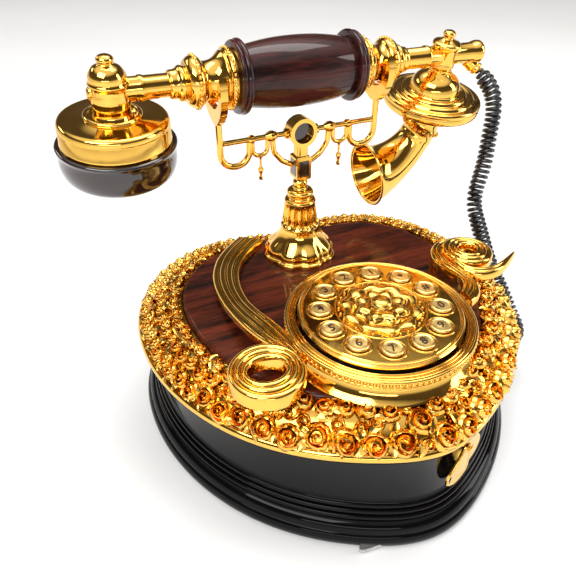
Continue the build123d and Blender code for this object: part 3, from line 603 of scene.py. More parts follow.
def plain_steel(name):
    """Brushed steel with fine lines."""
    material, tree, bsdf = shader(name)
    lines = noise(tree, 300, 4, (1, 12, 1))
    tree.links.new(ramp(tree, lines.outputs["Fac"], [(0.3, (0.45, 0.45, 0.44)),
                                                     (0.7, (0.7, 0.7, 0.69))])
                   .outputs["Color"], bsdf.inputs["Base Color"])
    bsdf.inputs["Metallic"].default_value = 1.0
    bsdf.inputs["Roughness"].default_value = 0.35
    return material


def finish_named(name):
    """The finish of that name, made once."""
    if name + "_finish" in bpy.data.materials:
        return bpy.data.materials[name + "_finish"]
    c = colours()
    makers = {
        "gilt": lambda: gilt("gilt", tuple(c.gilt), 0.085),
        # rose gilt carries painted shade in its hollows
        "rose_gilt": lambda: gilt("rose_gilt", tuple(c.gilt), 0.17, 0.35, painted_hollow_shade=0.92),
        "key_gilt": lambda: gilt("key_gilt", tuple(c.key_gilt), 0.30, 0.1),
        "ink": lambda: gloss("ink", (0.03, 0.012, 0.008), 0.3, 0.0),
        "rosewood": lambda: lacquered_wood("rosewood", tuple(c.panel), (0.006, 0.002, 0.001),
                                           (0.5, 6, 6), 30, 0.5),
        "mahogany": lambda: lacquered_wood("mahogany", tuple(c.grip), (0.008, 0.002, 0.002),
                                           (0.5, 4, 4), 30, 0.9),
        "plinth_black": lambda: gloss("plinth_black", tuple(c.plinth), 0.05, 0.0, 500, 0.006,
                                      specular=0.14),
        "dark_cup": lambda: gloss("dark_cup", (0.022, 0.008, 0.005), 0.10, 0.9, 700, 0.015, 0.6),
        "cord_black": lambda: gloss("cord_black", (0.010, 0.009, 0.010), 0.22, 0.3, 900, 0.05),
        "black_plastic": lambda: gloss("black_plastic", (0.02, 0.02, 0.02), 0.5, 0.0, 1500, 0.1),
        "pad_rubber": lambda: gloss("pad_rubber", (0.035, 0.035, 0.035), 0.75, 0.0, 2000, 0.2),
        "board_green": lambda: gloss("board_green", (0.02, 0.11, 0.045), 0.4, 0.2, 900, 0.1),
        "steel": lambda: plain_steel("steel"),
    }
    material = makers[name]()
    material.name = name + "_finish"
    return material


# ---------------------------------------------------------------- plinth, border and panel
def heart_rings(half, profile):
    """Rings of the heart for a profile of (inset, height)."""
    line, normal = heart_line(half)
    return [np.c_[line - normal * inset, np.full(len(line), z)] for inset, z in profile]


def bead_profile(moulds, base):
    """Convex beads, one on each step of (top height, inset), as (inset, height)."""
    profile = []
    floor = base
    for k, (top, inset) in enumerate(moulds):
        deep = moulds[k + 1][1] if k + 1 < len(moulds) else inset + 1.2
        bulge = min(1.0, (top - floor) * 0.28)
        for j in range(9):
            a = math.pi * (j / 8 - 0.5) * 0.92
            profile.append((inset + bulge * (1 - math.cos(a)), (floor + top) / 2
                            + (top - floor) / 2 * math.sin(a)))
        profile.append((deep - 0.25, top - 0.02))
        floor = top
    return profile


class PHONE_OT_plinth(bpy.types.Operator):
    """Black lacquered plinth with stepped bead mouldings"""
    bl_idname = "phone.plinth"
    bl_label = "Plinth"

    def execute(self, context):
        foot = [(1.4, 1.1), (0.5, 1.6), (0.05, 3.0), (0.0, 4.6), (0.3, 6.2), (1.0, 7.4), (1.7, 7.9)]
        cove = [(1.9, 8.4), (1.95, 9.2), (2.3, 10.2), (3.2, 11.5), (4.3, 12.4), (5.1, 12.8)]
        reeds = bead_profile([(15.4, 5.2), (17.9, 6.5), (20.4, 7.8)], 12.9)
        profile = [(12.5, 3.0), (6.2, 1.4)] + foot + cove + reeds
        profile += [(8.8, 21.2), (9.4, 22.0), (9.6, 23.5), (9.6, 48.5), (9.2, 49.8), (8.6, 50.4),
                    (8.6, 51.4), (12.5, 51.4)]
        profile.append(profile[0])
        verts, faces = stack(heart_rings(FOOT_HALF, profile), close_ends=False)
        build("plinth_shell", verts, faces, "plinth_black", "base", "plinth", 30)
        return {"FINISHED"}


BORDER_TOP = 69.0
BED_FOOT = 56.2
BED_ROWS = 12
RIM_LEAVES = 150
BED_LEAVES = 170


def bed_height(u):
    """Height of the rose bed from the rim (0) to the panel (1)."""
    return BED_FOOT + (BORDER_TOP - 58.2) * math.sin(min(u * 1.12, 1) * math.pi / 2)


def fullness(x, y):
    """1 at the front of the border, 0 at its back and left shoulder."""
    return min(max((-y - 22 + 0.22 * x) / 75, 0.0), 1.0)


def bed_point(t, u, outer, inner):
    """Place on the bed at t round the outline and u across it, in millimetres."""
    n = len(outer)
    k = t % n
    i = int(k)
    f = k - i
    a = outer[i] * (1 - f) + outer[(i + 1) % n] * f
    b = inner[i] * (1 - f) + inner[(i + 1) % n] * f
    p = a * (1 - u) + b * u
    return Vector((p[0], p[1], bed_height(u)))


def bed_facing(t, u, outer, inner):
    """Outward direction of the bed at that place."""
    here = bed_point(t, u, outer, inner)
    round_way = bed_point(t + 0.5, u, outer, inner) - here
    up_slope = bed_point(t, min(u + 0.03, 1), outer, inner)
    down_slope = bed_point(t, max(u - 0.03, 0), outer, inner)
    return round_way.cross(up_slope - down_slope).normalized()


class PHONE_OT_border(bpy.types.Operator):
    """Gilt rim and the sloping border packed with rolled roses and leaves"""
    bl_idname = "phone.border"
    bl_label = "Rose border"

    def execute(self, context):
        rim = [(8, 52.4), (0.9, 51.6), (0.25, 52.2), (0.0, 53.4), (0.0, 54.4), (0.4, 55.4),
               (1.2, 55.9), (2.0, 55.6),
               (2.6, 55.0), (8, 55.0), (8, 52.4)]
        verts, faces = stack(heart_rings(RIM_HALF, rim), close_ends=False)
        build("border_rim", verts, faces, "gilt", "base", "flange_tray", 40)
        outer, normal = heart_line(RIM_HALF)
        inner, inner_normal = heart_line(PANEL_HALF)
        inner = inner + inner_normal * 0.4
        outer = outer - normal * 2.2
        rows = []
        for k in range(BED_ROWS):
            u = k / (BED_ROWS - 1)
            rows.append([bed_point(i, u, outer, inner) - Vector((0, 0, 1.2))
                         for i in range(HEART_POINTS)])
        rows.append([v - Vector((0, 0, 5)) for v in rows[-1]])
        rows.append([Vector((v.x, v.y, 55.2)) for v in rows[0]])
        rows.append(rows[0])
        verts, faces = stack(rows, close_ends=False)
        build("border_bed", verts, faces, "rose_gilt", "base", "rose_garland", 40)
        self.plant(outer, inner)
        return {"FINISHED"}

    def plant(self, outer, inner):
        """Roses from the rim inwards, the largest first, that touch and never pile up."""
        s = sizes()
        largest, smallest = s.rose / MM, s.small_rose / MM
        chance = random.Random(11)
        taken = []

        def room(p, width, slack):
            return all((p - q).length > slack * 0.5 * (width + w) for q, w in taken
                       if abs(p.x - q.x) < 13)

        places = []

        def try_place(t, u, factor, slack):
            p = bed_point(t, u, outer, inner)
            width = (smallest + (largest - smallest) * fullness(p.x, p.y)) * factor
            if room(p, width, slack):
                taken.append((p, width))
                facing = bed_facing(t, u, outer, inner)
                facing = (facing + Vector([chance.uniform(-0.13, 0.13)
                                           for _ in range(3)])).normalized()
                lift = facing * (0.02 * width)
                places.append((p + lift, facing, chance.uniform(0, 2 * math.pi), width * 1.04))

        for row, u in enumerate((0.16, 0.50, 0.82)):
            for k in range(5 * HEART_POINTS):
                t = k / 5
                try_place(t, u + 0.035 * math.sin(t * 0.9 + row * 2), 1.0 - 0.12 * row, 0.96)
        for factor, slack, tries in ((0.95, 0.93, 2600), (0.75, 0.90, 3600), (0.52, 0.86, 4200)):
            for _ in range(tries):
                try_place(chance.uniform(0, HEART_POINTS), chance.uniform(0.05, 0.95), factor,
                          slack)
        half = len(places) // 2
        for k, part in enumerate((places[:half], places[half:])):
            scatter(f"border_roses_{k + 1}", rose_pattern(), part, "rose_gilt", "base",
                    variation=0.05, seed=3 + k)
        leaves = []
        for k in range(RIM_LEAVES):
            t = k * HEART_POINTS / RIM_LEAVES + chance.uniform(-0.4, 0.4)
            u = 0.015 if k % 2 else 0.07
            p = bed_point(t, u, outer, inner)
            facing = (bed_facing(t, u, outer, inner) * 0.7 + Vector((0, 0, 0.6))).normalized()
            leaves.append((p + Vector((0, 0, 0.7)), facing, chance.uniform(0, 6.28), 5.2
                           + 1.6 * fullness(p.x, p.y)))
        for _ in range(BED_LEAVES):
            t, u = chance.uniform(0, HEART_POINTS), chance.uniform(0.2, 0.97)
            p = bed_point(t, u, outer, inner)
            leaves.append((p + Vector((0, 0, 1.0)), bed_facing(t, u, outer, inner),
                           chance.uniform(0, 6.28), 5.6))
        scatter("border_leaves", leaf_pattern(), leaves, "rose_gilt", "base", variation=0.15,
                seed=9)


class PHONE_OT_panel(bpy.types.Operator):
    """Rosewood top with a rounded, lacquered edge"""
    bl_idname = "phone.panel"
    bl_label = "Wooden panel"

    def execute(self, context):
        profile = [(30, 62.0), (0.4, 62.0), (0.0, 62.6), (0.0, 65.8)]
        for k in range(1, 8):
            a = math.pi / 2 * k / 7
            profile.append((2.5 * (1 - math.cos(a)), 65.8 + 2.7 * math.sin(a)))
        profile += [(8, 68.5), (20, 68.5)]
        verts, faces = stack(heart_rings(PANEL_HALF, profile))
        build("panel_top", verts, faces, "rosewood", "base", "wood_panel", 30)
        return {"FINISHED"}


# ---------------------------------------------------------------- ribbons
LEFT_OUTER = [(-30, 22), (-47, 6), (-57, -18), (-58.5, -38), (-57, -60), (-53, -77), (-50, -84)]
LEFT_INNER = [(-17, 14), (-35, -2), (-43, -19), (-46, -42), (-43, -64), (-41, -80), (-41.2, -93)]
LEFT_SCROLL = (-59.5, -94)
RIGHT_OUTER = [(45, -83), (51.5, -76), (51, -66), (50, -57), (55, -46), (66, -41.5), (76, -43)]
RIGHT_INNER = [(45, -92), (53, -88), (57.5, -74), (56.5, -60), (58.5, -52), (66, -48), (78, -48)]
TAIL_OUTER = [(57, -60), (57.5, -71), (64, -77.5), (73, -79), (81, -76.5), (91, -70.5)]
TAIL_INNER = [(61, -60), (61.5, -66), (66, -70), (74, -71), (83, -68.5), (92, -66)]
RIGHT_SCROLL = (71, -56)
RIBBON_HIGH = 83.5
REED_DEPTH = 1.1
LEFT_TOP = ([-115, -84, -70, -40, 0, 30], [83.5, 83.5, 82, 77.5, 74.5, 74])
LEFT_LOW = ([-115, -80, -60, -12, 30], [77.5, 77.5, 75, 69.3, 69.0])


def reeded(outer, inner, top, low, reeds, steps, taper=(1.0, 1.0)):
    """A ribbon between two lines with rounded reeds along it. top and low give heights from y."""
    a, b = smooth_line(outer, steps), smooth_line(inner, steps)
    rings = []
    across = reeds * 8
    for k in range(steps):
        ring = []
        t = k / (steps - 1)
        shrink = taper[0] * (1 - t) + taper[1] * t
        for j in range(across + 1):
            v = 0.5 + (j / across - 0.5) * shrink
            p = a[k] * (1 - v) + b[k] * v
            reed = math.sqrt(max(1 - (2 * ((j / across * reeds) % 1) - 1) ** 2,
                                 0)) if 0 < j < across else 0
            crown = 1.2 * (1 - (2 * j / across - 1) ** 2)
            ring.append((p[0], p[1], top(p[1]) - REED_DEPTH * (1 - reed) - 1.2 + crown))
        for v in (1, 0):
            q = 0.5 + (v - 0.5) * shrink
            p = a[k] * (1 - q) + b[k] * q
            ring.append((p[0], p[1], low(p[1])))
        rings.append(ring)
    return stack(rings)


def scroll(centre, eye, outside, reeds, top, low, rise):
    """A flat ring of reeds round an open oval eye, which stands up by rise at the eye."""
    rings = []
    for a in turns(96):
        c, s = math.cos(a), math.sin(a)
        inner_r = 1 / math.sqrt((c / eye[0]) ** 2 + (s / eye[1]) ** 2)
        ring = []
        across = reeds * 7
        for j in range(across + 1):
            v = j / across
            r = inner_r + (outside - inner_r) * v
            reed = math.sqrt(max(1 - (2 * ((v * reeds) % 1) - 1) ** 2, 0)) if 0 < j < across else 0
            lift = rise * (1 - v)
            ring.append((centre[0] + r * c, centre[1] + r * s, top - 1.2 * (1 - reed)
                         + lift - 0.4 * abs(2 * v - 1)))
        ring.append((centre[0] + outside * c, centre[1] + outside * s, low))
        ring.append((centre[0] + inner_r * c, centre[1] + inner_r * s, low))
        rings.append(ring)
    rings.append(rings[0])
    return stack(rings, close_ends=False)


class PHONE_OT_ribbons(bpy.types.Operator):
    """Reeded ribbons and scrolls either side of the dial"""
    bl_idname = "phone.ribbons"
    bl_label = "Ribbons"

    def execute(self, context):
        def left_top(y):
            return float(np.interp(y, *LEFT_TOP))

        def left_low(y):
            return float(np.interp(y, *LEFT_LOW))

        parts = [reeded(LEFT_OUTER, LEFT_INNER, left_top, left_low, 4, 90),
                 scroll(LEFT_SCROLL, (8.0, 6.5), 16.0, 3, 83.6, 76.6, rise=0.6)]
        verts, faces = joined(parts)
        build("ribbon_left_reeds", verts, faces, "gilt", "base", "ribbon_left", 45)
        parts = [reeded(RIGHT_OUTER, RIGHT_INNER, lambda y: RIBBON_HIGH, lambda y: 78.5, 3, 70),
                 scroll(RIGHT_SCROLL, (4.5, 4.5), 13.0, 3, 83.8, 78.0, rise=1.0),
                 reeded(TAIL_OUTER, TAIL_INNER, lambda y: RIBBON_HIGH + 0.4 * max(0, (y + 72) / 6),
                        lambda y: 78.8, 2, 60, taper=(1.0, 0.45)),
                 tube([(53, -80, 68.4), (53, -80, 79)], 2.6, 20),
                 tube([(54, -52, 68.4), (54, -52, 79)], 2.6, 20)]
        verts, faces = joined(parts)
        build("ribbon_right_reeds", verts, faces, "gilt", "base", "ribbon_right", 45)
        return {"FINISHED"}


# ---------------------------------------------------------------- dial
def key_place(k):
    """Middle of key k on the dial."""
    a = math.radians(FIRST_KEY + KEY_STEP * k)
    return KEY_CIRCLE * math.cos(a), DIAL_Y + KEY_CIRCLE * math.sin(a)


def half_round(centre, high, radius, rise):
    """A half-round bead in a profile of (radius, height), from its outer side over its top."""
    return [(centre + radius * math.cos(a), high + rise * math.sin(a))
            for a in (math.pi * j / 6 for j in range(7))]


class PHONE_OT_dial(bpy.types.Operator):
    """Dial wall, reeded band with its beads, engraved plate rings and the flower hub"""
    bl_idname = "phone.dial"
    bl_label = "Dial"

    def execute(self, context):
        axis = upright(0, DIAL_Y)
        wall = [(34.6, 68.6), (42.4, 68.6), (42.9, 69.2), (42.2, 70.0), (40.6, 71), (39.2, 73.2),
                (38.2, 75.6),
                (38.0, 79.0), (37.5, 79.0), (37.5, 77), (35.4, 76.2), (35.4, 71.4), (34.6, 68.6)]
        turned_piece("dial_wall", wall, axis, "gilt", "base", "dial_housing", 144, sharp=40)
        band = [(37.4, 78.6), (42.1, 78.6)]
        for centre, high, radius in ((42.0, 79.6, 0.75), (42.0, 82.4, 0.8)):
            band += [(centre + radius * math.cos(a), high + radius * math.sin(a))
                     for a in (math.pi * (j / 6 - 0.5) for j in range(7))]
        for centre, radius in ((41.1, 0.85), (39.6, 0.7), (38.3, 0.6)):
            band += half_round(centre, 82.75, radius, 0.9)
        band += [(37.4, 82.4), (37.4, 78.6)]
        turned_piece("dial_band_rings", band, axis, "gilt", "base", "dial_band", 192, sharp=40)
        beads = []
        for a in turns(104):
            c, s = math.cos(a), math.sin(a)
            beads.append(((42.2 * c, DIAL_Y + 42.2 * s, 80.95), (c, s, 0), 0, 1.0))
        scatter("dial_band_beads", bead_pattern(), beads, "gilt", "base",
                size=sizes().bead / MM * 0.83)
        self.rings(axis)
        self.hub(axis)
        return {"FINISHED"}

    def rings(self, axis):
        """Raised rings on the plate: one at its rim and a collar round every key hole."""
        parts = []
        for radius, thick in ((35.6, 0.55), (20.2, 0.4)):
            ring = half_round(radius, 86.3, thick, thick * 0.8)
            ring += [(radius - thick, 86.1), (radius + thick, 86.1), ring[0]]
            parts.append(stack(turn(ring, axis, 144), close_ends=False))
        for k in range(len(KEY_NAMES)):
            ring = half_round(5.95, 86.3, 0.42, 0.38) + [(5.53, 86.1), (6.37, 86.1)]
            ring.append(ring[0])
            parts.append(stack(turn(ring, upright(*key_place(k)), 40), close_ends=False))
        verts, faces = joined(parts)
        build("dial_plate_rings", verts, faces, "gilt", "base", sharp=50)

    def hub(self, axis):
        """Two rows of petals round a domed button."""
        def petals(a, r, z):
            outer = min(max((r - 10.5) / 6, 0), 1)
            inner = min(max((r - 4.5) / 4, 0), 1) * (1 - outer)
            return 1 + 0.055 * outer * math.cos(10 * a) + 0.09 * inner * math.cos(8 * a + 0.4)

        profile = [(0.01, 86.2), (17.4, 86.2), (17.6, 86.9), (16.9, 87.7), (15.2, 88.2),
                   (13.4, 87.9), (12.2, 87.3),
                   (11.4, 87.4), (10.6, 88.6), (9.4, 89.5), (7.6, 89.7), (6.0, 89.2), (5.2, 89.1),
                   (4.8, 90.0),
                   (4.2, 91.0), (2.9, 91.7), (1.2, 92.0), (0.01, 92.0)]
        rings = []
        for r, z in rounded(profile, 80):
            ring = []
            count, shift = (10, 0) if r > 11 else (8, 0.4)
            for a in turns(120):
                q = r * petals(a, r, z)
                dip = 0.55 * min(max((r - 5) / 3, 0), 1) * (0.5 - 0.5 * math.cos(count * a + shift))
                dip *= min(max((17.6 - r) / 2, 0), 1) if z > 86.6 else 0
                ring.append(axis @ Vector((q * math.cos(a), q * math.sin(a), z - dip)))
            rings.append(ring)
        verts, faces = stack(rings)
        build("dial_flower", verts, faces, "rose_gilt", "base", "dial_hub", 50)
        beads = []
        for a in turns(30):
            beads.append(((18.6 * math.cos(a), DIAL_Y + 18.6 * math.sin(a), 86.7), (0, 0, 1), 0,
                          1.0))
        scatter("dial_flower_beads", bead_pattern(), beads, "gilt", "base", size=1.3)


class PHONE_OT_keys(bpy.types.Operator):
    """Pale gilt keys and their numerals"""
    bl_idname = "phone.keys"
    bl_label = "Keys"

    def execute(self, context):
        signs = {"hash": "#", "star": "*"}
        for k, name in enumerate(KEY_NAMES):
            x, y = key_place(k)
            node = f"key_{name}"
            profile = [(0.01, 81.2), (3.5, 81.2), (3.5, 82.4), (6.2, 82.4), (6.2, 83.8),
                       (4.8, 83.8), (4.8, 86.9),
                       (4.72, 87.25), (4.5, 87.5), (4.1, 87.6), (3.75, 87.45), (3.5, 87.4),
                       (2.0, 87.55), (0.01, 87.6)]
            turned_piece(f"key_top_{name}", profile, upright(x, y), "key_gilt", node, node,
                         48, sharp=35)
            self.numeral(signs.get(name, name), name, x, y, node)
        return {"FINISHED"}

    def numeral(self, sign, name, x, y, body):
        """A raised numeral, centred on its key."""
        curve = bpy.data.curves.new(f"numeral_{name}", "FONT")
        curve.body = sign
        curve.size = sizes().numeral * 1.35
        curve.align_x = "CENTER"
        curve.align_y = "CENTER"
        curve.extrude = 0.00015
        curve.resolution_u = 4
        curve.offset = 0.00008
        mesh = plain_mesh(add_object(f"numeral_text_{name}", curve))
        places = np.array([v.co for v in mesh.vertices])
        low, high = places.min(0), places.max(0)
        middle = Vector(((low[0] + high[0]) / 2, (low[1] + high[1]) / 2, 0))
        shift = Vector((x * MM, y * MM, NUMERAL_AT)) - middle
        mesh.transform(Matrix.Translation(shift))
        mesh.materials.clear()
        mesh.materials.append(finish_named("ink"))
        claim(add_object(f"numeral_{name}", mesh), body)


# ---------------------------------------------------------------- lock
DROP_RADIUS = 7.4


class PHONE_OT_lock(bpy.types.Operator):
    """Drop-shaped keyhole cover, domed, with a raised edge"""
    bl_idname = "phone.lock"
    bl_label = "Keyhole cover"

    def execute(self, context):
        out = Vector((0.27, -0.963, 0)).normalized()
        flat = Vector((0.963, 0.27, 0)).normalized()
        swing = math.radians(15)
        x = flat * math.cos(swing) - Vector((0, 0, 1)) * math.sin(swing)
        place = frame_at((13.0, -135.6, 46.0), out, x)
        outline = []
        for a in turns(64):
            px, py = DROP_RADIUS * math.sin(a), -14.5 - DROP_RADIUS * math.cos(a)
            if py > -12.0:
                t = (py + 12.0) / 4.9
                py = -12.0 + t * 14.3
                half = np.interp(py, [-12, -6, -1.5, 0.6, 2.6], [6.95, 4.8, 3.3, 2.9, 0.3])
                px = math.copysign(half, math.sin(a)) if abs(math.sin(a)) > 1e-6 else 0
            outline.append((px, py))
        middle = Vector((0, -10, 0))
        rings = []
        for scale, z in ((0.97, 1.42), (1.0, 1.6), (1.0, 2.3), (0.95, 2.7), (0.86, 2.72),
                         (0.82, 2.5), (0.6, 2.66), (0.3, 2.78)):
            rings.append([place @ Vector((middle.x + (px - middle.x) * scale, middle.y
                                          + (py - middle.y) * scale, z))
                          for px, py in outline])
        verts, faces = stack(rings)
        build("keyhole_drop", verts, faces, "gilt", "cover", "keyhole_cover", 40)
        return {"FINISHED"}


# ---------------------------------------------------------------- pedestal
class PHONE_OT_pedestal(bpy.types.Operator):
    """Fluted bell of the pedestal, its petalled foot and collar"""
    bl_idname = "phone.pedestal"
    bl_label = "Pedestal"

    def execute(self, context):
        def petals(a, r, z):
            low = min(max((r - 11.0) / 7, 0), 1)
            return 1 - 0.075 * low * (0.5 - 0.5 * math.cos(8 * a)) ** 2

        foot = rounded([(20.2, 68.6), (20.4, 69.6), (20.0, 70.8), (19.0, 71.4), (18.6, 72.6),
                        (18.2, 74.2), (16.4, 76.6),
                        (13.8, 79.2), (11.9, 81.6), (10.8, 84.0), (10.3, 86.2)], 60)
        rings = turn([(6.2, 68.6)] + foot + [(6.2, 86.2), (6.2, 68.6)], Matrix(), 144, petals)
        verts, faces = stack(rings, close_ends=False)
        build("pedestal_petals", verts, faces, "gilt", "base", "pedestal_foot", 50)

        def flutes(a, r, z):
            zone = min(max((z - 86.5) / 2, 0), 1) * min(max((101.0 - z) / 2, 0), 1)
            return 1 - 0.11 * zone * abs(math.sin(8 * a)) ** 0.7

        shaft = rounded([(10.3, 86.1), (10.5, 87.0), (9.9, 88.4), (9.3, 92), (8.7, 96), (8.35, 100),
                         (8.5, 101.6)], 40)
        neck = rounded([(8.5, 101.7), (7.9, 102.7), (6.6, 103.2), (6.0, 104.2), (6.8, 105.2),
                        (7.1, 106.3), (6.8, 107.4),
                        (5.6, 108.2), (3.7, 108.8), (3.5, 109.6)], 36)
        profile = [(2.6, 86.1)] + shaft + neck + [(2.6, 109.6), (2.6, 86.1)]
        verts, faces = stack(turn(profile, Matrix(), 192, flutes), close_ends=False)
        build("pedestal_flutes", verts, faces, "gilt", "base", "pedestal_column", 50)
        return {"FINISHED"}


# ---------------------------------------------------------------- handset
class PHONE_OT_handset(bpy.types.Operator):
    """Turned grip, ferrules, tube, knobs, earpiece and mouthpiece disc"""
    bl_idname = "phone.handset"
    bl_label = "Handset"

    def execute(self, context):
        body = "handset"
        axis = handset_frame(0, LEFT_TILT, "along")
        barrel = smooth_line([(13.3, -26.6), (15.2, -14), (15.9, 0), (15.2, 14), (13.3, 26.6)], 40)
        ring = []
        for centre, radius, out in ((28.1, 1.5, 15.0), (30.3, 1.0, 15.0)):
            ring += [(out + radius * math.sin(a), centre - radius * math.cos(a))
                     for a in (math.pi * j / 10 for j in range(11))]
        right = ring + [(14.6, 31.4), (12.9, 31.6), (5.2, 31.6)]
        left = [(r, -z) for r, z in reversed(right)]
        profile = left + [tuple(p) for p in barrel] + right
        turned_piece("grip_turned", profile, axis, "mahogany", body, "grip", 96, sharp=40)
        self.ferrules(body)
        line = [(0.01, -95.0), (1.8, -94.8), (2.6, -94.0), (2.8, -92.5), (5.1, -92.0), (5.1, -74),
                (5.5, -73.2),
                (5.5, -71.8), (5.1, -71), (5.1, 72), (5.6, 72.8), (5.6, 74.2), (5.1, 75),
                (5.1, 101.5), (5.35, 103),
                (5.8, 104.6), (6.0, 106.6), (5.7, 107.8), (4.9, 108.6), (3.0, 109.0), (0.01, 109.0)]
        turned_piece("tube_turned", line, axis, "gilt", body, "handset_tube", 64, sharp=40)
        self.earpiece(body)
        self.mouthpiece(body)
        return {"FINISHED"}

    def ferrules(self, body):
        """The moulded collars either side of the grip, with their beads."""
        curve = [(12.6, 31.6), (13.1, 32.6), (13.2, 34.0), (12.6, 35.2), (11.9, 35.8), (12.2, 36.4),
                 (11.7, 37.2),
                 (10.7, 38.2), (9.7, 39.4), (8.9, 41.2), (8.5, 43.4), (8.7, 45.2), (9.1, 46.0),
                 (9.9, 46.5),
                 (10.7, 47.4), (11.1, 49.0), (10.9, 50.8), (10.0, 52.2), (8.6, 53.2), (7.2, 53.8),
                 (7.6, 54.6),
                 (7.7, 55.4), (7.5, 56.1), (6.8, 56.8), (6.3, 58.2), (6.2, 59.6), (5.9, 60.4),
                 (5.1, 60.8)]
        for name, side in (("left", -1), ("right", 1)):
            profile = [(5.1, side * 31.6)] + [(r, side * z) for r,
                                              z in rounded(curve, 120)] + [(5.1, side * 31.6)]
            place = handset_frame(0, LEFT_TILT, "along")
            turned_piece(f"ferrule_{name}_turned", profile, place, "gilt", body, f"ferrule_{name}",
                         80, sharp=40)
            beads = []
            for station, radius, width, count in ((49.0, 11.0, 1.9, 30), (34.0, 13.1, 1.5, 40)):
                for a in turns(count):
                    spot = place @ Vector((radius * math.cos(a), radius * math.sin(a),
                                           side * station))
                    beads.append((spot, place.to_3x3() @ Vector((math.cos(a), math.sin(a), 0)), 0,
                                  width))
            scatter(f"ferrule_{name}_beads", bead_pattern(), beads, "gilt", body)

    def earpiece(self, body):
        """Knob, drum and dark cup at the listening end."""
        left = handset_frame(-CAPSULE_X, LEFT_TILT)
        knob = rounded([(8.6, -10.3), (7.9, -9.0), (7.9, -6.0), (8.1, -1.0), (8.1, 2.6), (8.5, 3.3),
                        (8.5, 4.0),
                        (8.1, 4.6), (7.9, 6.2), (7.0, 8.6), (5.2, 10.5), (3.6, 11.3), (3.1, 11.8),
                        (3.6, 12.8),
                        (3.3, 14.0), (2.0, 14.9), (0.01, 15.1)], 110)
        turned_piece("knob_left_turned", [(0.01, -10.3)] + knob, left, "gilt", body, "knob_left",
                     64, sharp=45)
        top = rounded([(12.2, -10.5), (12.6, -9.8), (12.0, -9.0), (10.8, -9.0), (10.2, -9.9),
                       (9.4, -10.5)], 24)[::-1]
        drum = [(0.01, -10.9), (9.0, -10.9)] + top + [(12.6, -10.7), (21.0, -10.9)]
        drum += rounded([(21.0, -10.9), (22.6, -11.1), (23.5, -11.8), (23.9, -12.9)], 14)
        drum += [(24.0, -13.6), (23.7, -14.0), (23.7, -14.5), (24.0, -14.9), (24.0, -19.8),
                 (24.3, -20.3), (24.3, -20.9), (23.9, -21.3), (23.9, -21.9), (0.01, -21.9)]
        turned_piece("earpiece_drum_turned", drum, left, "gilt", body, "earpiece_drum", 128,
                     sharp=38)
        cup = [(0.01, -21.7), (24.6, -21.7)]
        cup += rounded([(24.6, -21.7), (25.9, -21.9), (26.5, -22.7), (26.1, -23.6), (25.9, -24.8),
                        (26.1, -28.5), (25.7, -32.6), (24.1, -36.2), (20.7, -38.6),
                        (15.6, -39.3)], 60)
        cup += rounded([(15.6, -39.3), (13.4, -38.8), (8.0, -38.2), (0.01, -38.0)], 20)
        turned_piece("earpiece_cup_turned", cup, left, "dark_cup", body, "earpiece_cap", 128,
                     sharp=45)

    def mouthpiece(self, body):
        """Knob and stepped disc over the horn."""
        right = handset_frame(CAPSULE_X, RIGHT_TILT)
        knob = rounded([(6.2, -8.2), (5.6, -7.2), (6.0, -6.0), (6.7, -4.8), (6.5, -3.6), (6.5, 2.6),
                        (6.9, 4.2),
                        (7.4, 5.4), (7.2, 6.5), (5.6, 7.4), (3.4, 8.3), (2.5, 9.2), (3.0, 10.1),
                        (3.2, 11.1),
                        (2.2, 12.3), (0.01, 12.6)], 100)
        turned_piece("knob_right_turned", [(0.01, -8.2)] + knob, right, "gilt", body, "knob_right",
                     64, sharp=45)
        dome = rounded([(0.01, -7.9), (6.4, -7.9), (7.4, -8.8), (10.0, -10.5), (12.3, -13.0),
                        (13.4, -16.0),
                        (13.6, -18.0)], 40)
        steps = rounded([(13.6, -18.0), (14.4, -18.9), (15.6, -18.7), (16.8, -18.4), (17.8, -18.9),
                         (18.4, -19.9),
                         (19.6, -19.7), (20.8, -19.4), (21.9, -19.9), (22.6, -20.8), (24.4, -20.8),
                         (25.8, -21.1),
                         (26.4, -22.0)], 60)
        edge = [(26.4, -22.6), (26.1, -23.0), (26.1, -23.5), (26.4, -23.9), (26.4, -26.0),
                (26.0, -26.8), (24.8, -27.0),
                (23.0, -26.2), (10.0, -26.2), (8.8, -27.0), (0.01, -27.0)]
        turned_piece("mouthpiece_turned", dome + steps + edge, right, "gilt", body,
                     "mouthpiece_disc", 144,
                     sharp=38)


HORN_SWEEP = 84
HORN_ACROSS, HORN_DOWN = 36, 40
HORN_TOP = -27
THROAT, FLARE = 8.6, 9.6
COLLAR_AT = 20


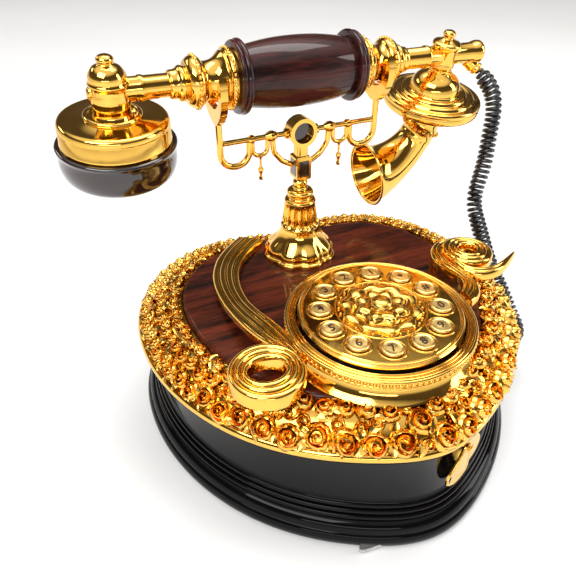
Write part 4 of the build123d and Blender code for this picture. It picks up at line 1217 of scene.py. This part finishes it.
class PHONE_OT_horn(bpy.types.Operator):
    """Curved speaking horn with a rolled rim and a beaded collar"""
    bl_idname = "phone.horn"
    bl_label = "Horn"

    def execute(self, context):
        place = handset_frame(CAPSULE_X, RIGHT_TILT)
        x, y, up = (place.to_3x3() @ Vector(v) for v in ((1, 0, 0), (0, 1, 0), (0, 0, 1)))
        origin = place.translation

        def station(turn_deg):
            a = math.radians(turn_deg)
            centre = origin + x * (HORN_ACROSS * (math.cos(a) - 1))
            centre = centre + up * (HORN_TOP - HORN_DOWN * math.sin(a))
            onward = -x * (HORN_ACROSS * math.sin(a)) - up * (HORN_DOWN * math.cos(a))
            onward.normalize()
            return centre, onward, y.cross(onward)

        def radius(t):
            return THROAT + FLARE * (t / HORN_SWEEP) ** 2.3

        def ring(centre, over, r):
            return [centre + (y * math.cos(b) + over * math.sin(b)) * r for b in turns(96)]

        rings = []
        for k in range(43):
            t = HORN_SWEEP * k / 42
            centre, onward, over = station(t)
            collar = 1.5 * math.exp(-((t - COLLAR_AT) / 2.6) ** 2)
            collar += 0.7 * math.exp(-((t - 27) / 1.2) ** 2)
            collar += 0.7 * math.exp(-((t - 13) / 1.2) ** 2)
            rings.append(ring(centre, over, radius(t) + collar))
        centre, onward, over = station(HORN_SWEEP)
        for k in range(9):
            b = math.pi * (k / 8)
            rings.append(ring(centre + onward * (0.7 * math.sin(b) + 0.1), over, 18.1
                              + 0.75 * math.cos(b)))
        for k in range(38):
            t = HORN_SWEEP - 76 * k / 37
            centre, onward, over = station(t)
            rings.append(ring(centre, over, radius(t) - 1.4))
        verts, faces = stack(rings)
        build("horn_shell", verts, faces, "gilt", "handset", "horn", 50)
        beads = []
        centre, onward, over = station(COLLAR_AT)
        for b in turns(26):
            way = y * math.cos(b) + over * math.sin(b)
            beads.append((centre + way * (radius(COLLAR_AT) + 1.5), way, 0, 1.9))
        scatter("horn_beads", bead_pattern(), beads, "gilt", "handset")
        return {"FINISHED"}


# ---------------------------------------------------------------- cradle
class PHONE_OT_cradle(bpy.types.Operator):
    """Polished finish for the sprung cradle's turned and bent parts"""
    bl_idname = "phone.cradle"
    bl_label = "Cradle"

    def execute(self, context):
        for node in ("cradle_stem", "cradle_ring", "crossbar", "pendants", "fork_left",
                     "fork_right", "lock_plate",
                     "dial_plate"):
            coat(node, "gilt")
        parts = []
        for x, y, wide, deep in ((0, -4.5, 2.7, 0.12), (0, 4.5, 2.7, 0.12), (-4, 0, 0.12, 3.0),
                                 (4, 0, 0.12, 3.0)):
            rings = []
            for z, grow in ((116.6, 0.96), (117.0, 1.0), (124.6, 1.0), (125.0, 0.96)):
                rings.append([(x + sx * wide * grow, y + sy * deep * grow, z)
                              for sx, sy in ((-1, -1), (1, -1), (1, 1), (-1, 1))])
            parts.append(stack(rings))
        verts, faces = joined(parts)
        build("block_panels", verts, faces, "dark_cup", "cradle", sharp=30)
        disc = [(0.01, -0.9), (5.0, -0.9), (5.2, -0.7), (5.2, 0.7), (5.0, 0.9), (0.01, 0.9)]
        turned_piece("ring_disc", disc, frame_at((0, 0, 139.3), (0, 1, 0)), "dark_cup",
                     "cradle", None, 48)
        return {"FINISHED"}


def coat(node, finish):
    """Give a CAD node one of this object's finishes."""
    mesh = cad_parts[node].data
    mesh.materials.clear()
    mesh.materials.append(finish_named(finish))


class PHONE_OT_inside(bpy.types.Operator):
    """Finishes for the parts inside and below"""
    bl_idname = "phone.inside"
    bl_label = "Inside parts"

    def execute(self, context):
        for finish, nodes in (
                ("steel", ("base_plate", "base_screws", "keypad_screws", "pedestal_nut",
                           "cradle_spring",
                           "switch_bracket")),
                ("board_green", ("main_board",)),
                # the keypad board is dark as painted shade for the gap between dial plate and band
                ("dark_cup", ("keypad_board",)),
                ("black_plastic", ("sounder", "line_socket", "hook_switch", "receiver_capsule",
                                   "microphone_capsule")),
                ("pad_rubber", ("rubber_feet", "keypad_membrane")),
                ("cord_black", ("cord_grommet",))):
            for node in nodes:
                coat(node, finish)
        return {"FINISHED"}


# ---------------------------------------------------------------- coiled cord
EXIT_WAY = Vector((0.912, -0.411, 0)).normalized()
EXIT_AT = Vector((81.5, -71.0, 27.5)) + EXIT_WAY * 5.0
CORD_ROUTE = [(105.5, -0.5, 157.0), (113.0, -5.0, 149.5), (115.6, -9.0, 137), (113, -12, 122),
              (109, -17, 108),
              (98.5, -24, 91), (103, -31, 73), (106.5, -39, 57), (110, -50, 43), (110.5, -60.5, 32),
              (108, -72, 27.5), (97.9, -78.4, 27.5), tuple(EXIT_AT)]


class PHONE_OT_cord(bpy.types.Operator):
    """Coiled cord from the end of the tube to the grommet on the side wall"""
    bl_idname = "phone.cord"
    bl_label = "Coiled cord"

    def execute(self, context):
        curve = bpy.data.curves.new("cord_route", "CURVE")
        curve.dimensions = "3D"
        spline = curve.splines.new("NURBS")
        spline.points.add(len(CORD_ROUTE) - 1)
        for point, place in zip(spline.points, CORD_ROUTE):
            point.co = (*[c * MM for c in place], 1)
        spline.order_u = 3
        spline.use_endpoint_u = True
        spline.resolution_u = 48
        route = np.array([v.co for v in plain_mesh(add_object("cord_route", curve)).vertices])
        length = float(np.linalg.norm(np.diff(route, axis=0), axis=1).sum())
        s = sizes()
        radius = (s.coil - s.wire) / 2
        coils = round(length / s.pitch)
        steps = coils * 14
        fine = even(route, steps + 1)
        side = None
        centres = []
        for k in range(steps + 1):
            way = Vector(fine[min(k + 1, steps)] - fine[max(k - 1, 0)]).normalized()
            side = way.orthogonal() if side is None else side - way * side.dot(way)
            side.normalize()
            over = way.cross(side)
            a = 2 * math.pi * coils * k / steps
            near = min(k, steps - k) / 28
            r = radius * min(1, 0.15 + 0.85 * near) * (1 + 0.035 * math.sin(k * 0.031))
            centres.append((Vector(fine[k]) + (side * math.cos(a) + over * math.sin(a)) * r) / MM)
        verts, faces = tube(centres, s.wire / 2 / MM, 8)
        piece = build("cord_coil", verts, faces, "cord_black", "base", "handset_cord", 60)
        way = (Vector(CORD_ROUTE[0]) - Vector(CORD_ROUTE[1])).normalized()
        socket = frame_at(CORD_ROUTE[0], way, (0, 1, 0))
        relief = rounded([(0.01, -1.0), (2.0, -1.0), (2.6, 0.0), (3.3, 0.6), (3.4, 1.6), (3.0, 2.2),
                          (3.6, 3.0), (3.7, 5.4),
                          (3.6, 8.4), (0.01, 8.6)], 40)
        turned_piece("cord_ferrule", relief, socket, "gilt", "handset", None, 40, sharp=45)
        return {"FINISHED"}


# ---------------------------------------------------------------- stage
LENS = 35.05
CAMERA_AT = (-0.1193, -0.2437, 0.2408)
CAMERA_AZIMUTH, CAMERA_ELEVATION = -24.73, 36.16
LIT_SPOT = (0.0, -0.05, 0.08)
# name, place, size in metres and share of the power
LIGHTS = (("key_box", (-0.75, -0.55, 1.15), (0.9, 0.6), 1.0),
          ("top_box", (0.25, 0.25, 1.3), (1.1, 0.5), 0.8),
          ("right_box", (1.1, -0.55, 0.55), (0.35, 0.8), 0.45),
          ("low_strip", (-0.55, -1.15, 0.35), (0.9, 0.12), 0.18),
          ("back_box", (-1.0, 1.3, 1.1), (0.7, 0.3), 0.2))
# tone of the surround from the horizon (0) to straight overhead (1)
SKY = [(0.0, (1, 1, 1)), (0.10, (0.55, 0.52, 0.48)), (0.22, (0.10, 0.08, 0.07)),
       (0.62, (0.07, 0.06, 0.05)), (0.78, (0.9, 0.88, 0.85)), (1.0, (1, 1, 1))]


class PHONE_OT_stage(bpy.types.Operator):
    """Camera, pale floor and soft studio light"""
    bl_idname = "phone.stage"
    bl_label = "Stage"

    def execute(self, context):
        settings = context.scene.phone_stage
        lens = bpy.data.cameras.new("camera")
        lens.lens = LENS
        lens.sensor_width = 36
        lens.clip_start = 0.01
        lens.clip_end = 50
        camera = add_object("camera", lens)
        azimuth, elevation = math.radians(CAMERA_AZIMUTH), math.radians(CAMERA_ELEVATION)
        look = Vector((-math.sin(azimuth) * math.cos(elevation),
                       math.cos(azimuth) * math.cos(elevation),
                       -math.sin(elevation)))
        camera.location = CAMERA_AT
        camera.rotation_euler = look.to_track_quat("-Z", "Y").to_euler()
        context.scene.camera = camera
        context.scene.view_settings.view_transform = "Standard"
        half = settings.floor / 2
        mesh = bpy.data.meshes.new("floor")
        mesh.from_pydata([(-half, -half, 0), (half, -half, 0), (half, half, 0), (-half, half, 0)],
                         [], [(0, 1, 2, 3)])
        floor = add_object("floor", mesh)
        material, tree, bsdf = shader("floor_paper")
        paper = noise(tree, 3, 3)
        tone = ramp(tree, paper.outputs["Fac"],
                    [(0.3, (0.86, 0.86, 0.85)), (0.7, (0.90, 0.90, 0.90))])
        tree.links.new(tone.outputs["Color"], bsdf.inputs["Base Color"])
        bsdf.inputs["Roughness"].default_value = 0.8
        mesh.materials.append(material)
        world = bpy.data.worlds.new("studio")
        world.use_nodes = True
        sky = world.node_tree
        where = sky.nodes.new("ShaderNodeTexCoord")
        parts = sky.nodes.new("ShaderNodeSeparateXYZ")
        sky.links.new(where.outputs["Generated"], parts.inputs["Vector"])
        bands = ramp(sky, parts.outputs["Z"], SKY)
        sky.links.new(bands.outputs["Color"], sky.nodes["Background"].inputs["Color"])
        sky.nodes["Background"].inputs["Strength"].default_value = settings.surround
        context.scene.world = world
        for name, place, size, share in LIGHTS:
            light = bpy.data.lights.new(name, "AREA")
            light.shape = "RECTANGLE"
            light.size, light.size_y = size
            light.energy = settings.power * share
            item = add_object(name, light)
            item.location = place
            aim = Vector(LIT_SPOT) - Vector(place)
            item.rotation_euler = aim.to_track_quat("-Z", "Y").to_euler()
        return {"FINISHED"}


OPERATORS = (PHONE_OT_stage, PHONE_OT_cord, PHONE_OT_plinth, PHONE_OT_border, PHONE_OT_panel,
             PHONE_OT_ribbons,
             PHONE_OT_dial, PHONE_OT_keys, PHONE_OT_lock, PHONE_OT_pedestal, PHONE_OT_handset,
             PHONE_OT_horn,
             PHONE_OT_cradle, PHONE_OT_inside)


class PHONE_PT_panel(bpy.types.Panel):
    """Pieces, colours and sizes of the telephone"""
    bl_idname = "PHONE_PT_panel"
    bl_label = "Cradle Telephone"
    bl_space_type = "VIEW_3D"
    bl_region_type = "UI"
    bl_category = "Telephone"

    def draw(self, context):
        for group in (context.scene.phone_colours, context.scene.phone_sizes,
                      context.scene.phone_stage):
            for name in group.__annotations__:
                self.layout.prop(group, name)
        for operator in OPERATORS:
            self.layout.operator(operator.bl_idname)


CLASSES = (PhoneColours, PhoneSizes, PhoneStage) + OPERATORS + (PHONE_PT_panel,)


def register():
    for item in CLASSES:
        bpy.utils.register_class(item)
    bpy.types.Scene.phone_colours = bpy.props.PointerProperty(type=PhoneColours)
    bpy.types.Scene.phone_sizes = bpy.props.PointerProperty(type=PhoneSizes)
    bpy.types.Scene.phone_stage = bpy.props.PointerProperty(type=PhoneStage)


def unregister():
    del bpy.types.Scene.phone_stage
    del bpy.types.Scene.phone_sizes
    del bpy.types.Scene.phone_colours
    for item in reversed(CLASSES):
        bpy.utils.unregister_class(item)


def main():
    register()
    for operator in OPERATORS:
        getattr(bpy.ops.phone, operator.bl_idname.split(".")[1])()


if __name__ == "__main__":
    main()
